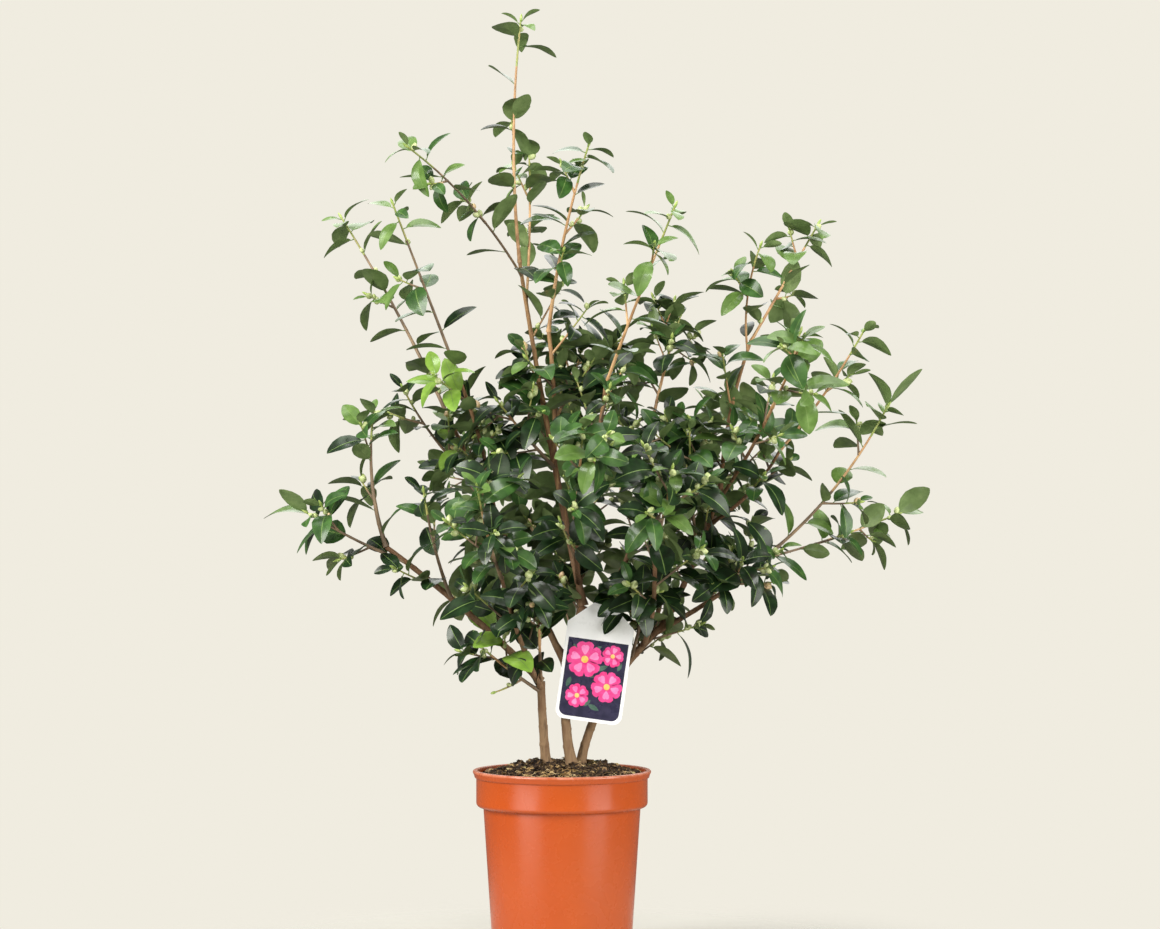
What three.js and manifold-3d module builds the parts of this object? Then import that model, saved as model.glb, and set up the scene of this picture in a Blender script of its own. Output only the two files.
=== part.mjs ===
// A young camellia shrub in a round plastic nursery pot, with a hanging plant label.
// Millimetres, +Z up. The origin is the centre of the pot's flat underside, and +X runs to the
// side that the longest low bough reaches.
//
// Three stems rise from the soil and fork into boughs. Every bough and every leafy shoot is one
// curve from a point on the limb that carries it to its own tip, and the leafy shoots branch and
// set leaves by one seeded rule.
import * as THREE from 'three';
import { mergeVertices } from 'three/addons/utils/BufferGeometryUtils.js';
import Module from 'manifold-3d';

const wasm = await Module();
wasm.setup();

// ---------------------------------------------------------------- driving dimensions
const GAP = 0.3;                     // clearance between neighbouring solids
const TURN = 2 * Math.PI;
const DEGREE = Math.PI / 180;

const POT = {
  rimRadius: 95, height: 200, lipHeight: 7.6,
  collarRadius: 91.3, collarBottom: 160,
  bodyRadius: 83.7, baseRadius: 73.3,
  wall: 1.8, floor: 2.4, sides: 30, edgeRound: 0.8, lipRound: 2.2, collarDraft: 0.6,
  holes: 6, holeRadius: 5, holeRing: 60, holeSides: 6,
};
const SOIL = {
  crown: 206, crownRadius: 28, shoulder: 203, shoulderRadius: 50, slope: 198, slopeRadius: 72,
  edge: 192, sides: 24,
};

const LABEL = {
  width: 71, bodyHeight: 103, neckHeight: 33, strapWidth: 18, corner: 10,
  thickness: 0.8, lean: 8 * DEGREE,
  hungFrom: 'bough_middle_right', hungAt: 0.23,
  loopBand: 9, loopThickness: 0.8, loopRadius: 5.6, loopSides: 12, viewDepth: 150,
};

const STEM = { sides: 8, steps: 9, flare: 1.8, flareReach: 9 };
const BOUGH = { sides: 6, steps: 4 };
const SHOOT = { sides: 3, steps: 3, foot: 2.5, tip: 1.6 };
// Side twigs stand between `first` and `last` of the way along a shoot, and lean away by about
// `lean` degrees. The further along, the shorter they are.
const TWIG = {
  foot: 0.9, tip: 1.25, first: 0.2, last: 0.86, lean: 44, leanSpread: 14,
  longest: 1.1, shortening: 0.35, lengthSpread: 0.3,
};
const LEAF = {
  length: 58, width: 29, widest: 0.44, thickness: 1.3, fold: 3.2, droop: 5, root: 0.8,
  lengthSpread: 0.24, lean: 56, leanSpread: 10, upright: 0.75, clearance: 0.5,
};
// Places along a shoot are counted back from its tip: a rosette of two small leaves, then one
// leaf every `spacing`, as far as `foot` of the shoot's length from its foot.
const LEAF_ROW = { spacing: 54, rosette: 2.5, rosetteStep: 5, next: 39, foot: 0.12 };
const ROSETTE = { lean: 38, share: 0.8 };
const BUD_LENGTH = 9;                // a shoot or twig ends in a pointed bud
const TWIG_TURN = 137.5;             // degrees from one side twig to the next, round the shoot
const LEAF_TURN = 144;               // degrees from one leaf to the next
const SPACE_MARGIN = 1.0;            // how much nearer its own shoot than another's a leaf stays
const SPINE_POINTS = 18;

// Stems: name, foot on the soil, tip, bow of the middle, radius at the foot and at the tip.
const STEMS = [
  ['stem_left', [-16, -8, 200], [-22, -20, 295], [-2, 0, 0], 5.0, 4.2],
  ['stem_middle', [12, -6, 200], [23, -10, 375], [-26, 0, -8], 5.4, 4.2],
  ['stem_right', [19, 6, 200], [110, 12, 355], [-32, 4, 8], 4.8, 3.8],
];

// Boughs: name, the limb that carries it, how far along that limb (0 foot to 1 tip), its own tip,
// the bow of its middle, radius at the foot and at the tip.
const BOUGHS = [
  ['bough_low_left', 'stem_left', 1, [-185, -40, 438], [6, 0, 6], 4.0, 2.6],
  ['bough_left', 'stem_middle', 0.62, [-125, 60, 580], [4, 14, -6], 3.8, 2.2],
  ['bough_leader', 'stem_middle', 1, [-45, 0, 740], [-6, 0, 0], 4.0, 1.9],
  ['bough_inner_left', 'bough_left', 0.62, [-106, -40, 610], [10, -20, 0], 2.4, 1.8],
  ['bough_second', 'bough_leader', 0.42, [-14, -32, 665], [6, -12, 0], 2.6, 2.1],
  ['bough_right', 'stem_right', 1, [170, 30, 498], [4, 0, -6], 3.6, 2.4],
  ['bough_low_right', 'stem_right', 0.94, [228, 0, 436], [6, 0, -10], 3.0, 1.8],
  ['bough_upper_right', 'bough_right', 1, [204, 60, 658], [-12, 0, 0], 2.3, 1.7],
  ['bough_front_of_right', 'bough_right', 0.9, [219, -90, 584], [0, -20, -10], 2.1, 1.6],
  ['bough_far_right', 'bough_right', 0.75, [231, -20, 540], [10, -10, -12], 2.1, 1.6],
  ['bough_top_right', 'bough_leader', 0.14, [46, -70, 608], [6, -16, 0], 2.8, 1.8],
  ['bough_middle_right', 'stem_middle', 0.8, [96, 10, 567], [37, -8, -34], 3.0, 1.9],
  ['bough_front_left', 'stem_left', 0.93, [-62, -112, 408], [0, -12, -20], 3.0, 2.0],
  ['bough_front', 'bough_leader', 0.07, [14, -122, 470], [0, -26, -16], 3.0, 2.0],
  ['bough_front_right', 'stem_right', 0.84, [96, -118, 440], [8, -26, -24], 3.0, 2.0],
  ['bough_back_left', 'stem_middle', 0.68, [-72, 112, 452], [0, 26, -24], 3.0, 2.0],
  ['bough_back', 'stem_middle', 0.9, [24, 118, 508], [0, 26, -24], 3.0, 2.0],
  ['bough_back_right', 'stem_right', 0.9, [128, 116, 470], [0, 26, -20], 3.0, 2.0],
];

// Masses of foliage, one leafy shoot each: name, the limb that carries it, how far along that
// limb, the shoot's tip, the bow of its middle, number of side twigs and their length.
const MASSES = [
  ['leaves_far_left', 'bough_low_left', 0.88, [-266, -60, 474], [0, 0, -6], 3, 52],
  ['leaves_left_low', 'bough_low_left', 1, [-199, -30, 580], [-16, 0, -6], 3, 58],
  ['leaves_left_inner', 'bough_low_left', 0.6, [-143, -90, 496], [-6, 0, -4], 3, 60],
  ['leaves_left_middle', 'bough_left', 0.72, [-169, 10, 605], [-10, 0, -10], 3, 60],
  ['leaves_left_tall', 'bough_left', 1, [-242, 110, 795], [8, 0, 4], 3, 58],
  ['leaves_inner_left_tall', 'bough_inner_left', 1, [-175, -90, 795], [0, 0, 0], 3, 50],
  ['leaves_top_left', 'bough_leader', 0.96, [-158, -120, 852], [10, -6, 16], 3, 58],
  ['leaves_top', 'bough_leader', 1, [-44, 5, 982], [-14, 0, 0], 3, 48],
  ['leaves_top_back', 'bough_leader', 0.88, [-36, 70, 860], [4, 10, 0], 3, 60],
  ['leaves_second_top', 'bough_second', 1, [28, -70, 858], [-10, 0, 0], 3, 58],
  ['leaves_top_right', 'bough_top_right', 1, [116, -150, 788], [-6, 0, -10], 3, 64],
  ['leaves_middle_right', 'bough_middle_right', 1, [127, 40, 684], [-4, 0, 0], 4, 60],
  ['leaves_upper_right', 'bough_upper_right', 1, [280, 110, 788], [0, 0, 0], 3, 55],
  ['leaves_upper_right_inner', 'bough_upper_right', 0.94, [212, 20, 758], [-14, 0, 0], 2, 50],
  ['leaves_front_of_right', 'bough_front_of_right', 1, [246, -170, 654], [0, 0, -4], 3, 55],
  ['leaves_far_right', 'bough_far_right', 1, [316, -60, 664], [6, 0, -6], 3, 60],
  ['leaves_low_far_right', 'bough_low_right', 1, [345, -30, 588], [12, 0, -16], 3, 60],
  ['leaves_lowest_right', 'bough_low_right', 0.9, [368, 90, 472], [0, 0, -6], 3, 60],
  ['leaves_low_right', 'bough_low_right', 0.5, [188, -90, 426], [6, 0, -8], 3, 55],
  ['leaves_low_left', 'stem_left', 0.88, [-87, -70, 337], [0, 0, -4], 3, 50],
  ['leaves_core_left', 'bough_leader', 0.4, [-67, -50, 591], [0, 0, -4], 4, 65],
  ['leaves_core_top', 'bough_leader', 0.5, [22, 40, 654], [6, 0, 0], 4, 65],
  ['leaves_core_right', 'bough_right', 0.55, [134, -60, 561], [-4, -10, -8], 4, 65],
  ['leaves_front_left', 'bough_front_left', 1, [-84, -205, 500], [0, -14, -16], 4, 62],
  ['leaves_front', 'bough_front', 1, [22, -212, 560], [0, -16, -12], 4, 62],
  ['leaves_front_right', 'bough_front_right', 1, [112, -208, 520], [0, -14, -14], 4, 62],
  ['leaves_back_left', 'bough_back_left', 1, [-108, 198, 552], [0, 14, -16], 4, 62],
  ['leaves_back', 'bough_back', 1, [28, 205, 628], [0, 16, -14], 4, 62],
  ['leaves_back_right', 'bough_back_right', 1, [168, 205, 566], [0, 14, -14], 4, 62],
  ['leaves_front_low', 'stem_left', 0.99, [-24, -95, 379], [0, -20, -6], 3, 55],
  ['leaves_inner_right', 'stem_right', 0.74, [100, -34, 420], [-2, -20, -6], 3, 55],
  ['leaves_inner_back', 'stem_middle', 0.97, [-19, 90, 464], [0, 20, -6], 4, 65],
  ['leaves_inner_left', 'bough_low_left', 0.3, [-67, 60, 422], [0, 20, -6], 3, 60],
];

// ---------------------------------------------------------------- materials
const finish = (color, roughness) => new THREE.MeshStandardMaterial({ color, roughness, metalness: 0 });
const potPlastic = finish(0xd8642e, 0.42);
const pottingSoil = finish(0x4a3324, 0.95);
const bark = finish(0x8a6248, 0.8);
const foliage = finish(0x3c6638, 0.45);
const labelCard = finish(0xf2f1ec, 0.35);

// ---------------------------------------------------------------- solids and meshes
function solidOf(geometry) {
  geometry.deleteAttribute('normal');
  geometry.deleteAttribute('uv');
  const merged = mergeVertices(geometry, 1e-4);
  return new wasm.Manifold(new wasm.Mesh({
    numProp: 3,
    vertProperties: new Float32Array(merged.attributes.position.array),
    triVerts: new Uint32Array(merged.index.array),
  }));
}

function meshOf(name, solid, material) {
  const { vertProperties, triVerts } = solid.getMesh();
  const geometry = new THREE.BufferGeometry();
  geometry.setAttribute('position', new THREE.BufferAttribute(vertProperties, 3));
  geometry.setIndex(new THREE.BufferAttribute(triVerts, 1));
  geometry.computeVertexNormals();
  const mesh = new THREE.Mesh(geometry, material);
  mesh.name = name;
  return mesh;
}

// A cut can leave a scrap behind, so only the largest body is kept.
function largestBody(solid) {
  const bodies = solid.decompose();
  return bodies.reduce((largest, body) => (body.volume() > largest.volume() ? body : largest));
}

// ---------------------------------------------------------------- curves of the limbs
const vector = (coordinates) => new THREE.Vector3(...coordinates);

function limbCurve(foot, tip, bow) {
  const middle = foot.clone().add(tip).multiplyScalar(0.5).add(bow);
  return new THREE.QuadraticBezierCurve3(foot, middle, tip);
}

// The two directions across a heading.
function crossFrame(heading, reference) {
  const across = reference.clone().cross(heading).normalize();
  const beside = across.clone().cross(heading);
  return { across, beside };
}

function steadyReference(curve) {
  const chord = curve.v2.clone().sub(curve.v0).normalize();
  return Math.abs(chord.y) < 0.6 ? new THREE.Vector3(0, 1, 0) : new THREE.Vector3(1, 0, 0);
}

// A closed bar bent along the curve. `radius` gives its radius at 0..1 along it, `point` draws the
// middle of its far end out into a bud, and `grow` makes it fatter and longer, for a clearance.
function bar(curve, radius, sides, steps, { grow = 0, point = 0 } = {}) {
  const geometry = new THREE.CylinderGeometry(1, 1, 1, sides, steps);
  const reference = steadyReference(curve);
  const places = geometry.attributes.position;
  const fat = grow / Math.cos(Math.PI / sides);
  for (let i = 0; i < places.count; i += 1) {
    const along = THREE.MathUtils.clamp(places.getY(i) + 0.5, 0, 1);
    const heading = curve.getTangent(along).normalize();
    const { across, beside } = crossFrame(heading, reference);
    const reach = radius(along) + fat;
    const isEndCentre = Math.hypot(places.getX(i), places.getZ(i)) < 0.5;
    const beyond = along > 0.999 ? grow + (isEndCentre ? point : 0) : 0;
    const before = along < 0.001 ? grow : 0;
    const place = curve.getPoint(along)
      .addScaledVector(across, places.getX(i) * reach)
      .addScaledVector(beside, places.getZ(i) * reach)
      .addScaledVector(heading, beyond - before);
    places.setXYZ(i, place.x, place.y, place.z);
  }
  return solidOf(geometry);
}

const taper = (foot, tip) => (along) => foot + (tip - foot) * along;

// ---------------------------------------------------------------- what is already in place
const placed = [];

function boxOf(solid) {
  const { min, max } = solid.boundingBox();
  return new THREE.Box3(vector(min), vector(max));
}

// `owner` names the solid, or the shoot or twig that it stands for, so that what is rooted in it
// may touch it.
function place(solid, owner) {
  placed.push({ solid, owner, box: boxOf(solid) });
  return solid;
}

// True where the candidate touches nothing in place, apart from the solid it is rooted in.
function isClear(candidate, owner) {
  const box = boxOf(candidate);
  return placed.every((other) => other.owner === owner || !other.box.intersectsBox(box)
    || candidate.intersect(other.solid).isEmpty());
}

// ---------------------------------------------------------------- pot and soil
function lathe(outline, sides) {
  const points = outline.map(([radius, height]) => new THREE.Vector2(radius, height));
  // LatheGeometry turns about Y; the last turn stands the piece up along Z.
  return new THREE.LatheGeometry(points, sides).rotateX(Math.PI / 2);
}

const innerBody = (height) => {
  const share = height / POT.collarBottom;
  return POT.baseRadius + (POT.bodyRadius - POT.baseRadius) * share - POT.wall;
};

function pot() {
  const lipBottom = POT.height - POT.lipHeight;
  const inner = POT.collarRadius - POT.wall;
  const outline = [
    [0, 0], [POT.baseRadius - POT.edgeRound, 0], [POT.baseRadius, POT.edgeRound],
    [POT.bodyRadius, POT.collarBottom],
    [POT.collarRadius - POT.edgeRound, POT.collarBottom + POT.edgeRound],
    [POT.collarRadius, lipBottom],
    [POT.rimRadius - POT.edgeRound, lipBottom + POT.edgeRound],
    [POT.rimRadius, lipBottom + POT.lipRound],
    [POT.rimRadius, POT.height - POT.lipRound], [POT.rimRadius - POT.lipRound, POT.height],
    [inner, POT.height], [inner - POT.collarDraft, POT.collarBottom + POT.wall],
    [innerBody(POT.collarBottom), POT.collarBottom - POT.wall],
    [innerBody(POT.floor), POT.floor], [0, POT.floor],
  ];
  let body = solidOf(lathe(outline, POT.sides));
  for (let i = 0; i < POT.holes; i += 1) {
    const angle = (i / POT.holes) * TURN;
    const hole = new THREE.CylinderGeometry(POT.holeRadius, POT.holeRadius, 3 * POT.floor, POT.holeSides)
      .rotateX(Math.PI / 2)
      .translate(POT.holeRing * Math.cos(angle), POT.holeRing * Math.sin(angle), POT.floor / 2);
    body = body.subtract(solidOf(hole));
  }
  return body;
}

function soil() {
  // The pot's flats cut across its round, so the soil keeps this much inside its corners.
  const clear = POT.bodyRadius * (1 - Math.cos(Math.PI / POT.sides)) + GAP;
  const collar = POT.collarRadius - POT.wall - POT.collarDraft - clear;
  const outline = [
    [0, POT.floor + GAP], [innerBody(POT.floor) - clear, POT.floor + GAP],
    [innerBody(POT.collarBottom) - clear, POT.collarBottom - POT.wall],
    [collar, POT.collarBottom + POT.wall + clear], [collar, SOIL.edge],
    [SOIL.slopeRadius, SOIL.slope], [SOIL.shoulderRadius, SOIL.shoulder],
    [SOIL.crownRadius, SOIL.crown], [0, SOIL.crown],
  ];
  return solidOf(lathe(outline, SOIL.sides));
}

// ---------------------------------------------------------------- stems, boughs and shoots
const limbs = new Map();             // name -> { curve, radius, body, cutter }
const groundCut = solidOf(new THREE.BoxGeometry(200, 200, 100)
  .translate(0, 0, SOIL.crown + GAP - 50));

function addLimb(name, curve, radius, sides, steps, point = 0) {
  let body = bar(curve, radius, sides, steps, { point });
  if (curve.v0.z < SOIL.crown) body = body.subtract(groundCut);
  const near = boxOf(body).expandByScalar(GAP);
  for (const [, other] of limbs) {
    if (other.cutter.box.intersectsBox(near)) body = body.subtract(other.cutter.solid);
  }
  body = largestBody(body);
  const cutter = bar(curve, radius, sides, steps, { grow: GAP, point });
  limbs.set(name, { curve, radius, body, cutter: { solid: cutter, box: boxOf(cutter) } });
  place(body, name);
}

function footOn(carrier, at) {
  return limbs.get(carrier).curve.getPoint(at);
}

function growStems() {
  for (const [name, foot, tip, bow, footRadius, tipRadius] of STEMS) {
    const curve = limbCurve(vector(foot), vector(tip), vector(bow));
    const length = curve.getLength();
    const rootDepth = SOIL.crown - foot[2];
    const radius = (along) => taper(footRadius, tipRadius)(along)
      + STEM.flare * Math.exp(-Math.max(0, along * length - rootDepth) / STEM.flareReach);
    addLimb(name, curve, radius, STEM.sides, STEM.steps);
  }
}

function growBoughs() {
  for (const [name, carrier, at, tip, bow, footRadius, tipRadius] of BOUGHS) {
    const curve = limbCurve(footOn(carrier, at), vector(tip), vector(bow));
    addLimb(name, curve, taper(footRadius, tipRadius), BOUGH.sides, BOUGH.steps);
  }
}

function growShootStems() {
  for (const [name, carrier, at, tip, bow] of MASSES) {
    const curve = limbCurve(footOn(carrier, at), vector(tip), vector(bow));
    addLimb(name, curve, taper(SHOOT.foot, SHOOT.tip), SHOOT.sides, SHOOT.steps, BUD_LENGTH);
  }
}

// ---------------------------------------------------------------- the seeded rule
// A repeatable scatter from 0 to 1: choice number `pick` of shoot number `seed`.
function chance(seed, pick) {
  const wave = Math.sin(seed * 12.9898 + pick * 78.233) * 43758.5453;
  return wave - Math.floor(wave);
}

// The direction that leans away from the curve's heading by `lean` degrees, at `spin` degrees
// round it.
function leanFrom(curve, along, lean, spin) {
  const heading = curve.getTangent(along).normalize();
  const { across, beside } = crossFrame(heading, steadyReference(curve));
  return heading.multiplyScalar(Math.cos(lean * DEGREE))
    .addScaledVector(across, Math.sin(lean * DEGREE) * Math.sin(spin * DEGREE))
    .addScaledVector(beside, Math.sin(lean * DEGREE) * Math.cos(spin * DEGREE));
}

// Side twigs leave the shoot one after another, a golden angle apart.
function twigCurve(shoot, index, count, length, seed, shorten) {
  const along = TWIG.first + (TWIG.last - TWIG.first) * ((index + 0.5) / count);
  const spin = TWIG_TURN * index + 360 * chance(seed, 1);
  const lean = TWIG.lean + TWIG.leanSpread * (chance(seed, 10 + index) - 0.5);
  const spread = 1 + TWIG.lengthSpread * (chance(seed, 20 + index) - 0.5);
  const reach = length * (TWIG.longest - TWIG.shortening * along) * spread * shorten;
  const foot = shoot.getPoint(along);
  const tip = foot.clone().addScaledVector(leanFrom(shoot, along, lean, spin), reach);
  return limbCurve(foot, tip, new THREE.Vector3());
}

// The eight-faced leaf: a blade folded along its midrib, from a short upright root edge sunk in
// the twig to a drooping tip.
function leafSolid(root, away, upward, length, grow = 0) {
  const up = upward.clone().addScaledVector(away, -upward.dot(away)).normalize();
  const side = up.clone().cross(away);
  const at = (forward, sideways, height) => root.clone().addScaledVector(away, forward)
    .addScaledVector(side, sideways).addScaledVector(up, height);
  const size = length / LEAF.length;
  const half = (LEAF.width / 2) * size + grow;
  const middle = LEAF.widest * length;
  const keel = -LEAF.root / 2 - LEAF.droop * size * LEAF.widest;
  const corners = {
    '+x': at(middle, half, LEAF.fold * size), '-x': at(middle, -half, LEAF.fold * size),
    '-y': at(0, 0, -LEAF.root / 2), '+y': at(middle, 0, keel + LEAF.thickness + grow),
    '-z': at(0, 0, LEAF.root / 2), '+z': at(length + grow, 0, -LEAF.droop * size),
  };
  const geometry = new THREE.OctahedronGeometry(1, 0);
  const places = geometry.attributes.position;
  for (let i = 0; i < places.count; i += 1) {
    const [x, y, z] = [places.getX(i), places.getY(i), places.getZ(i)];
    const axis = Math.abs(x) > 0.5 ? 'x' : Math.abs(y) > 0.5 ? 'y' : 'z';
    const corner = corners[(x + y + z > 0 ? '+' : '-') + axis];
    places.setXYZ(i, corner.x, corner.y, corner.z);
  }
  return solidOf(geometry);
}

// ---------------------------------------------------------------- each mass keeps to its space
function spineOf(curve) {
  return curve.getPoints(SPINE_POINTS).slice(2);
}

const nearest = (spine, point) => Math.min(...spine.map((place) => place.distanceTo(point)));

function inOwnSpace(points, own, spines) {
  return points.every((point) => {
    const home = nearest(spines.get(own), point) + SPACE_MARGIN;
    return [...spines].every(([name, spine]) => name === own || nearest(spine, point) > home);
  });
}

// The middle of the flat of a shoot that lies nearest to a given angle round it.
function nearestFlat(spin) {
  const flat = 360 / SHOOT.sides;
  return flat * (Math.floor(spin / flat) + 0.5);
}

// Leaves stand one turn of LEAF_TURN apart, from the rosette at the tip back along the shoot.
function leafPlaces(curve, seed) {
  const length = curve.getLength();
  const firstSpin = 360 * chance(seed, 40);
  const size = (i) => LEAF.length * (1 + LEAF.lengthSpread * (chance(seed, 60 + i) - 0.5));
  const places = [0, 1].map((i) => ({
    along: 1 - (LEAF_ROW.rosette + i * LEAF_ROW.rosetteStep) / length,
    spin: firstSpin + (i * 360) / SHOOT.sides,
    lean: ROSETTE.lean,
    length: size(0) * ROSETTE.share,
  }));
  let back = LEAF_ROW.next;
  for (let i = 1; back < length * (1 - LEAF_ROW.foot); i += 1) {
    places.push({
      along: 1 - back / length,
      spin: firstSpin + LEAF_TURN * i,
      lean: LEAF.lean + LEAF.leanSpread * (chance(seed, 50 + i) - 0.5),
      length: size(i),
    });
    back += LEAF_ROW.spacing;
  }
  return places;
}

function addLeaves(mass, curve, owner, seed, spines) {
  const grown = [];
  for (const [index, leaf] of leafPlaces(curve, seed).entries()) {
    const heading = curve.getTangent(leaf.along).normalize();
    const root = curve.getPoint(leaf.along);
    const upward = heading.clone().multiplyScalar(LEAF.upright).add(new THREE.Vector3(0, 0, 1));
    for (const turn of [0, 1, -1]) {
      const spin = nearestFlat(leaf.spin + (turn * 360) / SHOOT.sides);
      const away = leanFrom(curve, leaf.along, leaf.lean, spin);
      const tip = root.clone().addScaledVector(away, leaf.length);
      const half = root.clone().addScaledVector(away, leaf.length / 2);
      const fat = leafSolid(root, away, upward, leaf.length, LEAF.clearance);
      if (inOwnSpace([tip, half], mass, spines) && isClear(fat, owner)) {
        const blade = leafSolid(root, away, upward, leaf.length);
        grown.push(place(blade, `${owner}/leaf${index}`));
        break;
      }
    }
  }
  return grown;
}

// One mass: its shoot, the side twigs that fit, and the leaves on them all.
function growMass([name, , , , , twigs, twigLength], number, spines) {
  const shoot = limbs.get(name);
  const pieces = [shoot.body];
  const side = [];
  for (let i = 0; i < twigs; i += 1) {
    for (const shorten of [1, 0.75, 0.5]) {
      const curve = twigCurve(shoot.curve, i, twigs, twigLength, number, shorten);
      const shape = [curve, taper(TWIG.foot, TWIG.tip), SHOOT.sides, 1];
      const fat = bar(...shape, { grow: LEAF.clearance, point: BUD_LENGTH });
      if (inOwnSpace([curve.v1, curve.v2], name, spines) && isClear(fat, name)) {
        const owner = `${name}/twig${i}`;
        const twig = bar(...shape, { point: BUD_LENGTH });
        pieces.push(place(twig, owner));
        side.push({ curve, owner, seed: number * 10 + i + 1 });
        break;
      }
    }
  }
  pieces.push(...addLeaves(name, shoot.curve, name, number * 10, spines));
  for (const { curve, owner, seed } of side) {
    pieces.push(...addLeaves(name, curve, owner, seed, spines));
  }
  return largestBody(pieces.reduce((whole, piece) => whole.add(piece)));
}

// ---------------------------------------------------------------- the hanging label
// A card that tapers to a strap, and the strap's loop round the bough that it hangs from.
function label() {
  const bough = limbs.get(LABEL.hungFrom);
  const hung = bough.curve.getPoint(LABEL.hungAt);
  const heading = bough.curve.getTangent(LABEL.hungAt).normalize();
  const boughRadius = bough.radius(LABEL.hungAt);
  const loopOuter = LABEL.loopRadius + LABEL.loopThickness;
  const halfBand = LABEL.loopBand / 2;

  // The card's outline, from the middle of its round strap end at 0, 0.
  const card = new THREE.Shape();
  const { corner } = LABEL;
  const strap = LABEL.strapWidth / 2;
  const shoulder = strap - LABEL.neckHeight;
  const low = shoulder - LABEL.bodyHeight + corner;
  const half = LABEL.width / 2;
  card.moveTo(-half, shoulder);
  card.lineTo(-half, low);
  card.absarc(-half + corner, low, corner, Math.PI, 1.5 * Math.PI, false);
  card.absarc(half - corner, low, corner, 1.5 * Math.PI, TURN, false);
  card.lineTo(half, shoulder);
  card.lineTo(strap, 0);
  card.absarc(0, 0, strap, 0, Math.PI, false);
  card.closePath();
  const plate = new THREE.ExtrudeGeometry(card, {
    depth: LABEL.thickness, bevelEnabled: false, curveSegments: 4,
  });
  // The card stands upright, facing -Y, with its front on the outside of the loop.
  const loopCentre = hung.clone();
  loopCentre.y -= LABEL.loopRadius - boughRadius - 2 * GAP;
  plate.rotateX(Math.PI / 2).rotateY(LABEL.lean)
    .translate(loopCentre.x, loopCentre.y - loopOuter + LABEL.thickness / 2, loopCentre.z);

  const loop = lathe([
    [LABEL.loopRadius, -halfBand], [loopOuter, -halfBand],
    [loopOuter, halfBand], [LABEL.loopRadius, halfBand], [LABEL.loopRadius, -halfBand],
  ], LABEL.loopSides);
  const turn = new THREE.Quaternion().setFromUnitVectors(new THREE.Vector3(0, 0, 1), heading);
  loop.applyQuaternion(turn).translate(loopCentre.x, loopCentre.y, loopCentre.z);
  return solidOf(plate).add(solidOf(loop));
}

// The space in front of the card, which the foliage leaves open.
function labelView(body) {
  const { min, max } = boxOf(body);
  const height = LABEL.bodyHeight;
  return solidOf(new THREE.BoxGeometry(max.x - min.x, LABEL.viewDepth, height)
    .translate((min.x + max.x) / 2, min.y - LABEL.viewDepth / 2 - 1, min.z + height / 2));
}

// ---------------------------------------------------------------- the whole plant
const camellia = new THREE.Group();
camellia.name = 'camellia_in_pot';

const potBody = place(pot(), 'pot');
const soilBody = place(soil(), 'soil');
camellia.add(meshOf('pot', potBody, potPlastic), meshOf('soil', soilBody, pottingSoil));

growStems();
growBoughs();
const labelBody = place(label(), 'label');
place(labelView(labelBody), 'view of the label');
growShootStems();

for (const [name] of [...STEMS, ...BOUGHS]) {
  camellia.add(meshOf(name, limbs.get(name).body, bark));
}
camellia.add(meshOf('label', labelBody, labelCard));

const spines = new Map(MASSES.map(([name]) => [name, spineOf(limbs.get(name).curve)]));
MASSES.forEach((row, index) => {
  camellia.add(meshOf(row[0], growMass(row, index + 1, spines), foliage));
});

export default camellia;
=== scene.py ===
import math

import bpy
import numpy as np
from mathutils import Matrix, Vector, noise


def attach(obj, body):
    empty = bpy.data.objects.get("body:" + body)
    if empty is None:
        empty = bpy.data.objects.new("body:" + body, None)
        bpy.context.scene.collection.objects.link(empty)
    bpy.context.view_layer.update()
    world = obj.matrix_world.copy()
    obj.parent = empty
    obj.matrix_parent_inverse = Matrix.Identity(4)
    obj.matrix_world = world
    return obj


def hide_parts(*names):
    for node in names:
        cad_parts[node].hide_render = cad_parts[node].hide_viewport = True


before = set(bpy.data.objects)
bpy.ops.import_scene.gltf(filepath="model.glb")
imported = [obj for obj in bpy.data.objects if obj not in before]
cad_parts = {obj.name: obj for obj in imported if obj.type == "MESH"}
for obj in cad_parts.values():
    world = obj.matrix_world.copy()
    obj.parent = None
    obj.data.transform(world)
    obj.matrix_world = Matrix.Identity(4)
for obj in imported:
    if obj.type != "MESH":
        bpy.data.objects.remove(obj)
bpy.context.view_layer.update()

# ---------------- pot
# A round nursery pot, moulded in one piece from thin orange polypropylene: a rolled lip whose top
# carries a pale painted highlight, an upright collar for stacking, a tapering body and six drain
# holes.
# It stands on the floor on its foot ring. Sizes are in millimetres, and the studio's in metres.
MM = 0.001
POT_SIDES, POT_HEIGHT, COLLAR_BOTTOM, WALL, FLOOR = 144, 200, 160, 1.8, 2.4
BASE_RADIUS, BODY_RADIUS, COLLAR_RADIUS, LIP_RADIUS = 73.3, 83.7, 91.3, 95
COLLAR_ROUND, PAINTED_HIGHLIGHT_DEPTH = 5, 3.2  # the corner under the collar, and how far down the lip the painted highlight reaches
DRAIN_HOLES, DRAIN_RADIUS, DRAIN_RING = 6, 5, 60
POT_CREASE = 50  # degrees at which an edge is sharp


def colour(code):
    """The linear colour that a six-digit code such as "d8642e" stands for."""
    parts = [int(code[i:i + 2], 16) / 255 for i in (0, 2, 4)]
    return [((p + 0.055) / 1.055) ** 2.4 if p > 0.04045 else p / 12.92 for p in parts] + [1]


def new_finish(name, **sockets):
    """A material whose shader sockets are set to plain values."""
    finish = bpy.data.materials.new(name)
    finish.use_nodes = True
    for socket, value in sockets.items():
        shader_of(finish)[socket.replace("_", " ")].default_value = value
    return finish


def shader_of(finish):
    return finish.node_tree.nodes["Principled BSDF"].inputs


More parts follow.
